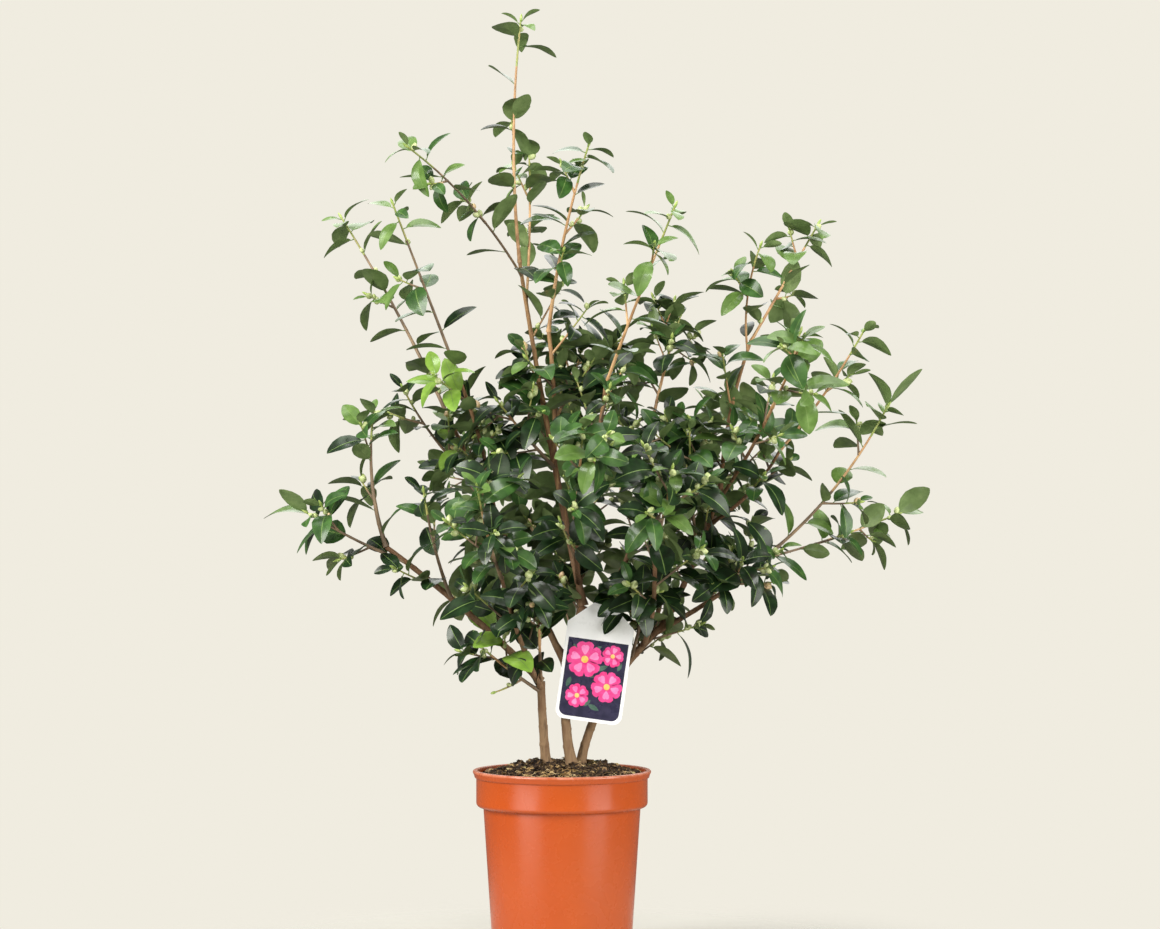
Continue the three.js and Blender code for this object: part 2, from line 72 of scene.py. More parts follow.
def wire(finish, kind, sockets, **settings):
    """Adds a node to a finish. A socket takes a value or another node's output."""
    node = finish.node_tree.nodes.new("ShaderNode" + kind)
    for setting, value in settings.items():
        setattr(node, setting, value)
    for socket, value in sockets.items():
        if isinstance(value, bpy.types.NodeSocket):
            finish.node_tree.links.new(value, node.inputs[socket])
        else:
            node.inputs[socket].default_value = value
    return node.outputs[0]


def places(finish):
    """Where each point of the piece lies, in metres."""
    return finish.node_tree.nodes.new("ShaderNodeTexCoord").outputs["Object"]


def upward(finish):
    return wire(finish, "SeparateXYZ", {"Vector": places(finish)}).node.outputs["Z"]


def grain(finish, scale, detail=3, stretch=(1, 1, 1), roughness=0.55):
    """A noise from 0 to 1 through the piece, `scale` patches to the metre."""
    stretched = wire(finish, "Mapping", {"Vector": places(finish), "Scale": stretch})
    return wire(finish, "TexNoise", {"Vector": stretched, "Scale": scale, "Detail": detail,
                                     "Roughness": roughness})


def shades(finish, share, stops):
    """Colours run from stop to stop as the share grows. A stop is a place and a colour code."""
    node = wire(finish, "ValToRGB", {"Fac": share}).node
    elements = node.color_ramp.elements
    for i, (place, code) in enumerate(stops):
        element = elements[i] if i < 2 else elements.new(place)
        element.position, element.color = place, colour(code)
    return node.outputs["Color"]


def surface(finish, tone, sheen=None, relief=None):
    """Wires a finish's colour, roughness and bumps. `tone` is a colour, or a pattern and its
    stops, `sheen` a pattern and the roughness at its two ends, `relief` a pattern, its strength
    and its depth in millimetres. A pattern is a node's output, or what grain() takes."""
    def share(pattern):
        return pattern if isinstance(pattern, bpy.types.NodeSocket) else grain(finish, *pattern)

    link, shader = finish.node_tree.links.new, shader_of(finish)
    if isinstance(tone, tuple):
        tone = shades(finish, share(tone[0]), tone[1])
    link(tone, shader["Base Color"])
    if sheen:
        dull = {"Value": share(sheen[0]), "From Min": 0.3, "From Max": 0.7, "To Min": sheen[1],
                "To Max": sheen[2]}
        link(wire(finish, "MapRange", dull), shader["Roughness"])
    if relief:
        link(wire(finish, "Bump", {"Height": share(relief[0]), "Strength": relief[1],
                                   "Distance": relief[2] * MM}), shader["Normal"])
    return finish


def put_in_scene(name, data):
    made = bpy.data.objects.new(name, data)
    bpy.context.scene.collection.objects.link(made)
    return made


def piece_of(name, parts, finishes, crease=40):
    """A piece joined from parts, which rides on the plant's one body. A part is its points, its
    faces, and one finish number or a number for each face."""
    points, faces, numbers = [], [], []
    for part_points, part_faces, finish in parts:
        faces += [[int(corner) + len(points) for corner in face] for face in part_faces]
        numbers += list(finish) if np.ndim(finish) else [finish] * len(part_faces)
        points += (np.asarray(part_points) * MM).tolist()
    mesh = bpy.data.meshes.new(name)
    mesh.from_pydata(points, [], faces, shade_flat=False)
    for finish in finishes:
        mesh.materials.append(finish)
    mesh.polygons.foreach_set("material_index", np.asarray(numbers, np.int32))
    mesh.set_sharp_from_angle(angle=math.radians(crease))
    piece = put_in_scene(name, mesh)
    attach(piece, "root")
    return piece


def arc(middle, radius, start, stop, steps=6):
    """Points on a round corner, between two angles in degrees."""
    angles = np.radians(np.linspace(start, stop, steps))
    return [(middle[0] + radius * math.cos(a), middle[1] + radius * math.sin(a)) for a in angles]


def circle(middle, radius, sides):
    return arc(middle, radius, 0, 360 - 360 / sides, sides)


def turned(outline, sides):
    """The points and faces of an outline of radius and height, turned about the upright axis. A
    radius of 0 makes one point on the axis."""
    points, rings = [], []
    for radius, height in outline:
        count = sides if radius > 0 else 1
        rings.append(len(points) + np.arange(count))
        points += [(x, y, height) for x, y in circle((0, 0), radius, count)]
    faces = []
    for low, high in zip(rings, rings[1:]):
        for j in range(sides):
            corners = [low[j % len(low)], low[(j + 1) % len(low)],
                       high[(j + 1) % len(high)], high[j % len(high)]]
            faces.append([int(c) for c in dict.fromkeys(corners)])
    return points, faces


collar_corner = (COLLAR_RADIUS - COLLAR_ROUND, COLLAR_BOTTOM + COLLAR_ROUND + 0.6)
pot_outline = [
    (0, 0), (66, 0), (67, 0.8), (70, 0.8), (71, 0), *arc((BASE_RADIUS - 1.2, 1.2), 1.2, -90, -4),
    (BODY_RADIUS - 0.1, COLLAR_BOTTOM - 1.5), (BODY_RADIUS + 0.4, COLLAR_BOTTOM),
    *arc(collar_corner, COLLAR_ROUND, -82, 0, 8),
    *[(COLLAR_RADIUS + out, POT_HEIGHT - down) for out, down in
      ((0, 8.8), (0.3, 8.2), (1.4, 8), (1.8, 7.4), (2.4, 5))],
    *arc((LIP_RADIUS - 2, POT_HEIGHT - 2), 2, -35, 90, 9),
    *arc((COLLAR_RADIUS - WALL + 0.9, POT_HEIGHT - 0.9), 0.9, 90, 180),
    *arc(collar_corner, COLLAR_ROUND - WALL, 0, -82, 8),
    (BODY_RADIUS - WALL, COLLAR_BOTTOM - 0.6), (BASE_RADIUS - WALL + 0.15, FLOOR), (0, FLOOR),
]

orange = new_finish("orange_polypropylene", Roughness=0.27, IOR=1.49)
# The lip's top is painted paler over its last few millimetres. This is a painted highlight along
# the lip.
painted_highlight_mask = wire(orange, "MapRange", {
    "Value": upward(orange), "From Min": (POT_HEIGHT - PAINTED_HIGHLIGHT_DEPTH) * MM,
    "From Max": (POT_HEIGHT - PAINTED_HIGHLIGHT_DEPTH / 3) * MM, "To Max": 0.8})
plastic_tone = shades(orange, grain(orange, 9, stretch=(1, 1, 0.5)),
                    [(0.3, "a54210"), (0.7, "ad4b18")])
painted_highlight_tone = shades(orange, grain(orange, 120, 5), [(0.35, "a45a3c"), (0.6, "b9775c")])
tone_with_painted_highlight = wire(orange, "Mix", {0: painted_highlight_mask, 6: plastic_tone, 7: painted_highlight_tone},
                 data_type="RGBA").node.outputs[2]
surface(orange, tone_with_painted_highlight, sheen=((60, 5), 0.22, 0.32), relief=((900, 4), 0.05, 0.1))

pot = piece_of("pot_shell", [(*turned(pot_outline, POT_SIDES), 0)], [orange], POT_CREASE)
hole, hole_faces = turned([(0, -2), (DRAIN_RADIUS, -2), (DRAIN_RADIUS, 5), (0, 5)], 24)
drill = piece_of("drain_drill", [(np.array(hole) + (x, y, 0), hole_faces, 0) for x, y in
                                 circle((0, 0), DRAIN_RING, DRAIN_HOLES)], [orange])
cut = pot.modifiers.new("drain_holes", "BOOLEAN")
cut.object, cut.operation, cut.solver = drill, "DIFFERENCE", "EXACT"
with bpy.context.temp_override(object=pot):
    bpy.ops.object.modifier_apply(modifier=cut.name)
bpy.data.objects.remove(drill)
pot.data.set_sharp_from_angle(angle=math.radians(POT_CREASE))
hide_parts("pot")

# ---------------- potting soil
# A heap of dark peat, mounded round the stems and lower at the pot's wall. Crumbs, chips of
# bark and golden coir fibres lie loose on it.
SOIL_HEAP = [(0, 206), (28, 206), (50, 203), (72, 198), (82, 195), (88.4, 192)]
SOIL_RINGS, SOIL_SPOKES = 74, 200
UNDERSIDE_RADIUS, UNDERSIDE_HEIGHT = 80, 150  # where the soil ends, inside the pot
CRUMBS, CHIPS, FIBRES, FIBRE_RADIUS = 2600, 300, 240, 0.28
BITS_REACH, FIBRES_REACH, WALL_INSIDE = 86, 80, 88.6
CLODS = [(-29, -16, 11), (-47, 14, 7), (4, 30, 7), (-66, -22, 6), (60, -20, 6), (44, 44, 8),
         (-8, 62, 7)]
scatter = np.random.default_rng(11)


def soil_height(x, y):
    """The height of the loose surface at a place on the pot's plan."""
    heap = np.interp(math.hypot(x, y), *zip(*SOIL_HEAP))
    for clod_x, clod_y, reach in CLODS:
        heap += 0.62 * reach * math.exp(-(math.hypot(x - clod_x, y - clod_y) / (0.72 * reach)) ** 4)
    lumps = noise.fractal(Vector((x, y, 3)) / 16, 0.8, 2.2, 5)
    return heap + 2.2 * lumps + 0.7 * noise.noise(Vector((x, y, 9)) / 2.4)


def ring_faces(rings, sides, flipped=False):
    """The faces between rings of points that lie one after another in a list."""
    ring, side = np.meshgrid(np.arange(rings - 1), np.arange(sides), indexing="ij")
    here, after = ring * sides + side, ring * sides + (side + 1) % sides
    quads = np.stack([here, after, after + sides, here + sides], -1).reshape(-1, 4)
    return (quads[:, [0, 3, 2, 1]] if flipped else quads).tolist()


soil_points = [(x, y, soil_height(x, y)) for ring in range(SOIL_RINGS + 1) for x, y in
               circle((0, 0), SOIL_HEAP[-1][0] * ring / SOIL_RINGS, SOIL_SPOKES)]
underside = range(len(soil_points), len(soil_points) + SOIL_SPOKES)
soil_points += [(x, y, UNDERSIDE_HEIGHT) for x, y in circle((0, 0), UNDERSIDE_RADIUS, SOIL_SPOKES)]
soil_faces = ring_faces(SOIL_RINGS + 2, SOIL_SPOKES, flipped=True) + [list(underside)[::-1]]

peat = surface(
    new_finish("peat", Roughness=0.95, Specular_IOR_Level=0.25),
    tone=((330, 6, (1, 1, 1), 0.7), [(0.39, "0b0704"), (0.49, "281b10"), (0.59, "584229"),
                                     (0.73, "aa8d5e")]),
    sheen=((500,), 0.85, 1.0), relief=((700, 6), 0.7, 0.9))
soil = piece_of("peat_heap", [(soil_points, soil_faces, 0)], [peat], crease=180)
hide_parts("soil")

CRUMB_CORNERS = np.array([(0, 0, 1), (1, 0, 0), (0, 1, 0), (-1, 0, 0), (0, -1, 0), (0, 0, -1),
                          (0.7, 0.7, 0.3), (-0.7, 0.7, -0.2), (-0.7, -0.7, 0.3), (0.7, -0.7, -0.2)])
rim = [1, 6, 2, 7, 3, 8, 4, 9, 1]
CRUMB_FACES = ([(0, a, b) for a, b in zip(rim, rim[1:])]
               + [(5, b, a) for a, b in zip(rim, rim[1:])])


def somewhere(reach):
    """A random place on the pot's plan."""
    radius, turn = reach * math.sqrt(scatter.random()), scatter.random() * 2 * math.pi
    return radius * math.cos(turn), radius * math.sin(turn), radius


def loose_bit(low, high, flatness, sink):
    """An irregular bit that lies on the soil, inside the pot's wall."""
    x, y, radius = somewhere(BITS_REACH)
    size = low + (high - low) * scatter.random() ** 2
    stretch = size * np.array([1, 0.45 + 0.5 * scatter.random(), flatness])
    shape = CRUMB_CORNERS * stretch * (0.75 + 0.5 * scatter.random((10, 1)))
    spin, tilt = scatter.random() * 6.28, (scatter.random(2) - 0.5) * 1.2
    spun = shape @ np.array([(math.cos(spin), math.sin(spin), tilt[0]),
                             (-math.sin(spin), math.cos(spin), tilt[1]), (0, 0, 1)])
    inward = 1 - max(0, radius + size - WALL_INSIDE) / radius
    x, y = x * inward, y * inward
    return spun + (x, y, soil_height(x, y) + size * flatness * (0.5 - sink)), CRUMB_FACES, 0


chip_bark = surface(
    new_finish("bark_chips", Roughness=0.85), relief=((900,), 0.5, 0.4),
    tone=((120, 2), [(0.36, "2c1b0d"), (0.47, "6f5233"), (0.57, "a98c5c"), (0.68, "8a8a55")]))
for name, finish, count, bit in (("peat_crumbs", peat, CRUMBS, (1.0, 4.2, 0.62, 0.1)),
                                 ("soil_chips", chip_bark, CHIPS, (2.0, 6.5, 0.2, -0.4))):
    piece_of(name, [loose_bit(*bit) for _ in range(count)], [finish], 30)


def fibre(number):
    """A bent coir fibre, three-sided, that lies on the soil or stands out of it. Two in three
    are in the front half of the pot."""
    x, y, _ = somewhere(FIBRES_REACH)
    if number % 3:
        x, y = -18 + 0.5 * x, -58 + 0.3 * y
    heading, bend = scatter.random() * 2 * math.pi, (scatter.random() - 0.5) * 0.5
    reach, rise = 1.2 + 1.6 * scatter.random(), 0.25 + 0.9 * scatter.random() ** 3
    points = []
    for step in range(7):
        if math.hypot(x, y) > BITS_REACH:
            x, y = x * 0.97, y * 0.97
        height = soil_height(x, y) + 0.6 + rise * math.sin(step * math.pi / 6) * reach
        for corner in (0, 2.1, 4.2):
            around = FIBRE_RADIUS * math.cos(corner)
            points.append((x - around * math.sin(heading), y + around * math.cos(heading),
                           height + FIBRE_RADIUS * math.sin(corner)))
        x, y, heading = x + reach * math.cos(heading), y + reach * math.sin(heading), heading + bend
    return points, ring_faces(7, 3) + [[0, 2, 1], [18, 19, 20]], 0


coir = surface(new_finish("coir_fibre", Roughness=0.75), relief=((900,), 0.4, 0.2),
               tone=((90,), [(0.35, "a07c48"), (0.5, "c9a76d"), (0.65, "e2ca9b")]))
piece_of("soil_fibres", [fibre(number) for number in range(FIBRES)], [coir], crease=180)

# ---------------- stems and boughs
# Three woody stems rise from the soil and fork into eighteen boughs. Their bark is thin and
# brown, tan at the foot, wrinkled lengthwise, with a raised scar round each old leaf joint. Each
# limb bends along one curve from the limb that carries it to its own tip.
#   name, foot, tip, bow of the middle, radius at the foot and at the tip
STEMS = [
    ("stem_left", (-16, -8, 200), (-22, -20, 295), (-2, 0, 0), 5.0, 4.2),
    ("stem_middle", (12, -6, 200), (23, -10, 375), (-26, 0, -8), 5.4, 4.2),
    ("stem_right", (19, 6, 200), (110, 12, 355), (-32, 4, 8), 4.8, 3.8),
]
#   name, the limb that carries it and how far along that, its own tip, bow and radii
BOUGHS = [
    ("bough_low_left", "stem_left", 1, (-185, -40, 438), (6, 0, 6), 4.0, 2.6),
    ("bough_left", "stem_middle", 0.62, (-125, 60, 580), (4, 14, -6), 3.8, 2.2),
    ("bough_leader", "stem_middle", 1, (-45, 0, 740), (-6, 0, 0), 4.0, 1.9),
    ("bough_inner_left", "bough_left", 0.62, (-106, -40, 610), (10, -20, 0), 2.4, 1.8),
    ("bough_second", "bough_leader", 0.42, (-14, -32, 665), (6, -12, 0), 2.6, 2.1),
    ("bough_right", "stem_right", 1, (170, 30, 498), (4, 0, -6), 3.6, 2.4),
    ("bough_low_right", "stem_right", 0.94, (228, 0, 436), (6, 0, -10), 3.0, 1.8),
    ("bough_upper_right", "bough_right", 1, (204, 60, 658), (-12, 0, 0), 2.3, 1.7),
    ("bough_front_of_right", "bough_right", 0.9, (219, -90, 584), (0, -20, -10), 2.1, 1.6),
    ("bough_far_right", "bough_right", 0.75, (231, -20, 540), (10, -10, -12), 2.1, 1.6),
    ("bough_top_right", "bough_leader", 0.14, (46, -70, 608), (6, -16, 0), 2.8, 1.8),
    ("bough_middle_right", "stem_middle", 0.8, (96, 10, 567), (37, -8, -34), 3.0, 1.9),
    ("bough_front_left", "stem_left", 0.93, (-62, -112, 408), (0, -12, -20), 3.0, 2.0),
    ("bough_front", "bough_leader", 0.07, (14, -122, 470), (0, -26, -16), 3.0, 2.0),
    ("bough_front_right", "stem_right", 0.84, (96, -118, 440), (8, -26, -24), 3.0, 2.0),
    ("bough_back_left", "stem_middle", 0.68, (-72, 112, 452), (0, 26, -24), 3.0, 2.0),
    ("bough_back", "stem_middle", 0.9, (24, 118, 508), (0, 26, -24), 3.0, 2.0),
    ("bough_back_right", "stem_right", 0.9, (128, 116, 470), (0, 26, -20), 3.0, 2.0),
]
ROOT_FLARE, FLARE_FROM, FLARE_REACH = 1.8, 6, 9
FORK_SWELL, FORK_REACH = 0.35, 7  # how much a bough swells where it leaves its carrier
WRINKLE, SCAR, SCAR_WIDTH = 0.07, 0.13, 1.5
JOINT_SPACING = 19  # from one leaf joint to the next along a limb


def unit(arrow):
    return arrow / np.linalg.norm(arrow, axis=-1, keepdims=True)


class Limb:
    """The centre line of a stem, bough, shoot or twig, with its radius from foot to tip."""

    def __init__(self, foot, tip, bow, foot_radius, tip_radius):
        self.foot, self.tip = np.array(foot, float), np.array(tip, float)
        self.middle = (self.foot + self.tip) / 2 + np.array(bow, float)
        self.foot_radius, self.tip_radius = foot_radius, tip_radius
        is_across = abs(unit(self.tip - self.foot)[1]) < 0.6
        self.reference = np.array((0, 1, 0) if is_across else (1, 0, 0), float)
        steps = np.diff(self.place(np.linspace(0, 1, 33)), axis=0)
        self.length = float(np.linalg.norm(steps, axis=1).sum())

    def place(self, along):
        """The point at 0 to 1 along the limb."""
        along = np.asarray(along, float)[..., None]
        return ((1 - along) ** 2 * self.foot + 2 * along * (1 - along) * self.middle
                + along ** 2 * self.tip)

    def frame(self, along):
        """The limb's heading at a place, and the two directions across it."""
        along = np.asarray(along, float)[..., None]
        heading = unit((1 - along) * (self.middle - self.foot) + along * (self.tip - self.middle))
        across = unit(np.cross(self.reference, heading))
        return heading, across, np.cross(across, heading)

    def leaning(self, along, lean, spin):
        """The direction `lean` degrees out from the limb, at `spin` degrees round it."""
        heading, across, beside = self.frame(along)
        lean, spin = math.radians(lean), math.radians(spin)
        return (heading * math.cos(lean) + across * math.sin(lean) * math.sin(spin)
                + beside * math.sin(lean) * math.cos(spin))

    def radius(self, along):
        return self.foot_radius + (self.tip_radius - self.foot_radius) * np.asarray(along)


def barked(limb, along, sides, radii, wrinkle, scar, seed):
    """The points and faces of a closed limb whose bark stands out in lengthwise wrinkles, and in
    a raised scar at every leaf joint."""
    turns = np.arange(sides) * (2 * math.pi / sides)
    travelled = along * limb.length
    relief = np.ones((len(along), sides))
    for i, far in enumerate(travelled):
        for j, turn in enumerate(turns):
            here = Vector((1.7 * math.cos(turn), 1.7 * math.sin(turn), far / 11 + seed * 7.3))
            relief[i, j] += wrinkle * noise.fractal(here, 0.9, 2.1, 3)
    joint = np.floor(travelled / JOINT_SPACING)
    past = travelled - (joint + 0.5) * JOINT_SPACING
    side_of_scar = 0.6 + 0.4 * np.cos(turns[None, :] - 2.4 * joint[:, None] - seed)
    relief += scar * side_of_scar * np.exp(-(past / SCAR_WIDTH) ** 2)[:, None]
    _, across, beside = limb.frame(along)
    outward = (across[:, None] * np.cos(turns)[None, :, None]
               + beside[:, None] * np.sin(turns)[None, :, None])
    points = limb.place(along)[:, None] + outward * (radii[:, None] * relief)[..., None]
    last = (len(along) - 1) * sides
    ends = [list(range(sides)), list(range(last, last + sides))[::-1]]
    return points.reshape(-1, 3), ring_faces(len(along), sides, flipped=True) + ends


bark = new_finish("young_bark", Roughness=0.8, Specular_IOR_Level=0.3)
redness = wire(bark, "MapRange", {"Value": upward(bark), "From Min": 0.2, "From Max": 0.72,
                                  "To Max": 0.42})
streaks = grain(bark, 260, 6, (1, 1, 0.16), 0.65)
surface(bark,
        tone=(wire(bark, "Math", {0: streaks, 1: 0.75, 2: redness}, operation="MULTIPLY_ADD"),
              [(0.25, "4c3927"), (0.36, "846a4c"), (0.46, "775d43"), (0.60, "6b4d35"),
               (0.78, "a07c54")]),
        sheen=(streaks, 0.7, 0.9), relief=((600, 5, (1, 1, 0.3)), 0.7, 0.6))

limbs = {name: Limb(*shape) for name, *shape in STEMS}
for name, carrier, at, *shape in BOUGHS:
    limbs[name] = Limb(limbs[carrier].place(at), *shape)
bark_parts = []
for number, (name, limb) in enumerate(limbs.items()):
    along = np.linspace(0, 1, int(limb.length / 1.8))
    if name.startswith("stem"):
        sides, radii = 20, limb.radius(along) + ROOT_FLARE * np.exp(
            -np.maximum(0, along * limb.length - FLARE_FROM) / FLARE_REACH)
    else:
        sides, radii = 16, limb.radius(along) * (1 + FORK_SWELL * np.exp(
            -(along * limb.length / FORK_REACH) ** 2))
    bark_parts.append((*barked(limb, along, sides, radii, WRINKLE, SCAR, number), 0))
boughs = piece_of("stems_and_boughs", bark_parts, [bark], crease=60)
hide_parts(*limbs)

# ---------------- shoots and twigs
# Each mass of leaves grows on one young shoot. Side twigs leave the shoot a golden angle apart,
# and in the thick of the crown short spurs leave the twigs. Young wood is smooth and brown,
# orange on the sunny side and high up, and green where it is this year's.
#   name, carrier, how far along it, tip, bow, side twigs and their length, leaf spacing, spurs
MASSES = [
    ("leaves_far_left", "bough_low_left", 0.88, (-266, -60, 474), (0, 0, -6), 2, 40, 24, 0),
    ("leaves_left_low", "bough_low_left", 1, (-199, -30, 580), (-16, 0, -6), 2, 44, 28, 0),
    ("leaves_left_inner", "bough_low_left", 0.6, (-143, -90, 496), (-6, 0, -4), 1, 50, 26, 0),
    ("leaves_left_middle", "bough_left", 0.72, (-169, 10, 605), (-10, 0, -10), 2, 46, 29, 0),
    ("leaves_left_tall", "bough_left", 1, (-242, 110, 795), (8, 0, 4), 1, 40, 22, 0),
    ("leaves_inner_left_tall", "bough_inner_left", 1, (-175, -90, 795), (0, 0, 0), 1, 36, 22, 0),
    ("leaves_top_left", "bough_leader", 0.96, (-158, -120, 852), (10, -6, 16), 2, 38, 25, 0),
    ("leaves_top", "bough_leader", 1, (-44, 5, 998), (-14, 0, 0), 1, 32, 34, 0),
    ("leaves_top_back", "bough_leader", 0.88, (-36, 70, 860), (4, 10, 0), 2, 44, 30, 0),
    ("leaves_second_top", "bough_second", 1, (28, -70, 858), (-10, 0, 0), 3, 44, 28, 0),
    ("leaves_top_right", "bough_top_right", 1, (116, -150, 788), (-6, 0, -10), 2, 50, 25, 0),
    ("leaves_middle_right", "bough_middle_right", 1, (127, 40, 684), (-4, 0, 0), 4, 60, 20, 1),
    ("leaves_upper_right", "bough_upper_right", 1, (280, 110, 788), (0, 0, 0), 2, 42, 23, 0),
    ("leaves_upper_right_inner", "bough_upper_right", 0.94, (212, 20, 758), (-14, 0, 0),
     1, 42, 26, 0),
    ("leaves_front_of_right", "bough_front_of_right", 1, (246, -170, 654), (0, 0, -4),
     3, 52, 22, 0),
    ("leaves_far_right", "bough_far_right", 1, (316, -60, 664), (6, 0, -6), 1, 42, 30, 0),
    ("leaves_low_far_right", "bough_low_right", 1, (345, -30, 588), (12, 0, -16), 2, 44, 26, 0),
    ("leaves_lowest_right", "bough_low_right", 0.9, (368, 90, 472), (0, 0, -6), 2, 44, 26, 0),
    ("leaves_low_right", "bough_low_right", 0.5, (188, -90, 426), (6, 0, -8), 3, 50, 22, 0),
    ("leaves_low_left", "stem_left", 0.88, (-87, -70, 337), (0, 0, -4), 3, 46, 21, 0),
    ("leaves_core_left", "bough_leader", 0.4, (-67, -50, 591), (0, 0, -4), 3, 60, 20, 1),
    ("leaves_core_top", "bough_leader", 0.5, (22, 40, 654), (6, 0, 0), 4, 65, 18, 2),
    ("leaves_core_right", "bough_right", 0.55, (134, -60, 561), (-4, -10, -8), 4, 65, 18, 2),
    ("leaves_front_left", "bough_front_left", 1, (-84, -205, 500), (0, -14, -16), 3, 60, 22, 1),
    ("leaves_front", "bough_front", 1, (22, -212, 560), (0, -16, -12), 4, 60, 22, 1),
    ("leaves_front_right", "bough_front_right", 1, (112, -208, 520), (0, -14, -14), 4, 60, 22, 1),
    ("leaves_back_left", "bough_back_left", 1, (-108, 198, 552), (0, 14, -16), 4, 62, 20, 1),
    ("leaves_back", "bough_back", 1, (28, 205, 628), (0, 16, -14), 4, 62, 18, 1),
    ("leaves_back_right", "bough_back_right", 1, (168, 205, 566), (0, 14, -14), 4, 62, 16, 2),
    ("leaves_front_low", "stem_left", 0.99, (-24, -95, 379), (0, -20, -6), 3, 55, 16, 2),
    ("leaves_inner_right", "stem_right", 0.74, (100, -34, 420), (-2, -20, -6), 3, 55, 16, 2),
    ("leaves_inner_back", "stem_middle", 0.97, (-19, 90, 464), (0, 20, -6), 4, 65, 18, 2),
    ("leaves_inner_left", "bough_low_left", 0.3, (-67, 60, 422), (0, 20, -6), 3, 60, 18, 2),
]
TWIG_FIRST, TWIG_LAST = 0.2, 0.86  # side twigs stand between these shares of the shoot
TWIG_LEAN, TWIG_LEAN_SPREAD, GOLDEN_TURN = 44, 14, 137.5
TWIG_LONGEST, TWIG_SHORTENING, TWIG_LENGTH_SPREAD = 1.1, 0.35, 0.3
SPUR_LENGTH, SPUR_SPACING, TWIG_SPACING = 34, 14, 17  # and the leaf spacing on spur and twig
TWIG_RADII, BOUGH_TWIG_RADII, SPUR_RADII = (1.25, 0.8), (1.2, 0.8), (0.95, 0.7)
SPACE_MARGIN = 1
LABEL_VIEW = [(-14, 88), (-300, -12), (232, 356)]  # x, y and z of the space before the label


def chance(seed, pick):
    """A repeatable scatter from 0 to 1: choice number `pick` of twig number `seed`."""
    wave = math.sin(seed * 12.9898 + pick * 78.233) * 43758.5453
    return wave - math.floor(wave)


def spine_of(limb):
    return limb.place(np.linspace(0, 1, 19)[2:])


def shoot_gap(mass, place):
    return np.linalg.norm(spines[mass] - place, axis=1).min()


def in_own_space(places, own):
    """True where the places lie nearer to their own mass's shoot than to any other's."""
    for place in places:
        gaps = {mass: shoot_gap(mass, place) for mass in spines}
        if gaps.pop(own) + SPACE_MARGIN >= min(gaps.values()):
            return False
    return True


def hides_label(places):
    """True where any of the places lies in the space before the label."""
    low, high = np.array(LABEL_VIEW).T
    return bool(((places > low) & (places < high)).all(1).any())


def side_twig(shoot, number, count, length, seed):
    """Side twig `number` of a shoot."""
    along = TWIG_FIRST + (TWIG_LAST - TWIG_FIRST) * (number + 0.5) / count
    lean = TWIG_LEAN + TWIG_LEAN_SPREAD * (chance(seed, 10 + number) - 0.5)
    reach = (length * (TWIG_LONGEST - TWIG_SHORTENING * along)
             * (1 + TWIG_LENGTH_SPREAD * (chance(seed, 20 + number) - 0.5)))
    foot = shoot.place(along)
    away = shoot.leaning(along, lean, GOLDEN_TURN * number + 360 * chance(seed, 1))
    return Limb(foot, foot + away * reach, (0, 0, -0.05 * reach), *TWIG_RADII)


for name, carrier, at, tip, bow, *_ in MASSES:
    carried_by = limbs[carrier]
    foot_radius = carried_by.tip_radius if at == 1 else min(2.1, carried_by.radius(at) * 0.7)
    limbs[name] = Limb(carried_by.place(at), tip, bow, foot_radius, 0.95)
spines = {row[0]: spine_of(limbs[row[0]]) for row in MASSES}

# Leafy twigs also stand on the boughs inside the crown.
#   bough, first and last place along it, number of twigs, their length
BOUGH_TWIGS = [
    ("bough_leader", 0.22, 0.86, 4, 62), ("bough_inner_left", 0.25, 0.95, 4, 58),
    ("bough_left", 0.5, 0.9, 3, 60), ("bough_second", 0.2, 0.95, 3, 58),
    ("bough_middle_right", 0.42, 0.96, 6, 60), ("bough_right", 0.25, 0.96, 6, 58),
    ("bough_upper_right", 0.08, 0.6, 4, 56), ("bough_top_right", 0.3, 0.96, 6, 60),
    ("bough_low_right", 0.35, 0.9, 5, 52), ("bough_low_left", 0.35, 0.8, 2, 54),
    ("bough_far_right", 0.35, 0.9, 3, 50), ("bough_front_of_right", 0.3, 0.9, 4, 54),
    ("stem_middle", 0.78, 0.98, 4, 56), ("stem_right", 0.7, 0.98, 4, 52),
    ("bough_front", 0.3, 0.95, 3, 62), ("bough_front_left", 0.3, 0.95, 3, 62),
    ("bough_back", 0.3, 0.95, 5, 66), ("bough_back_left", 0.3, 0.95, 5, 66),
    ("bough_back_right", 0.3, 0.95, 5, 66), ("bough_front_right", 0.3, 0.95, 4, 62),
]

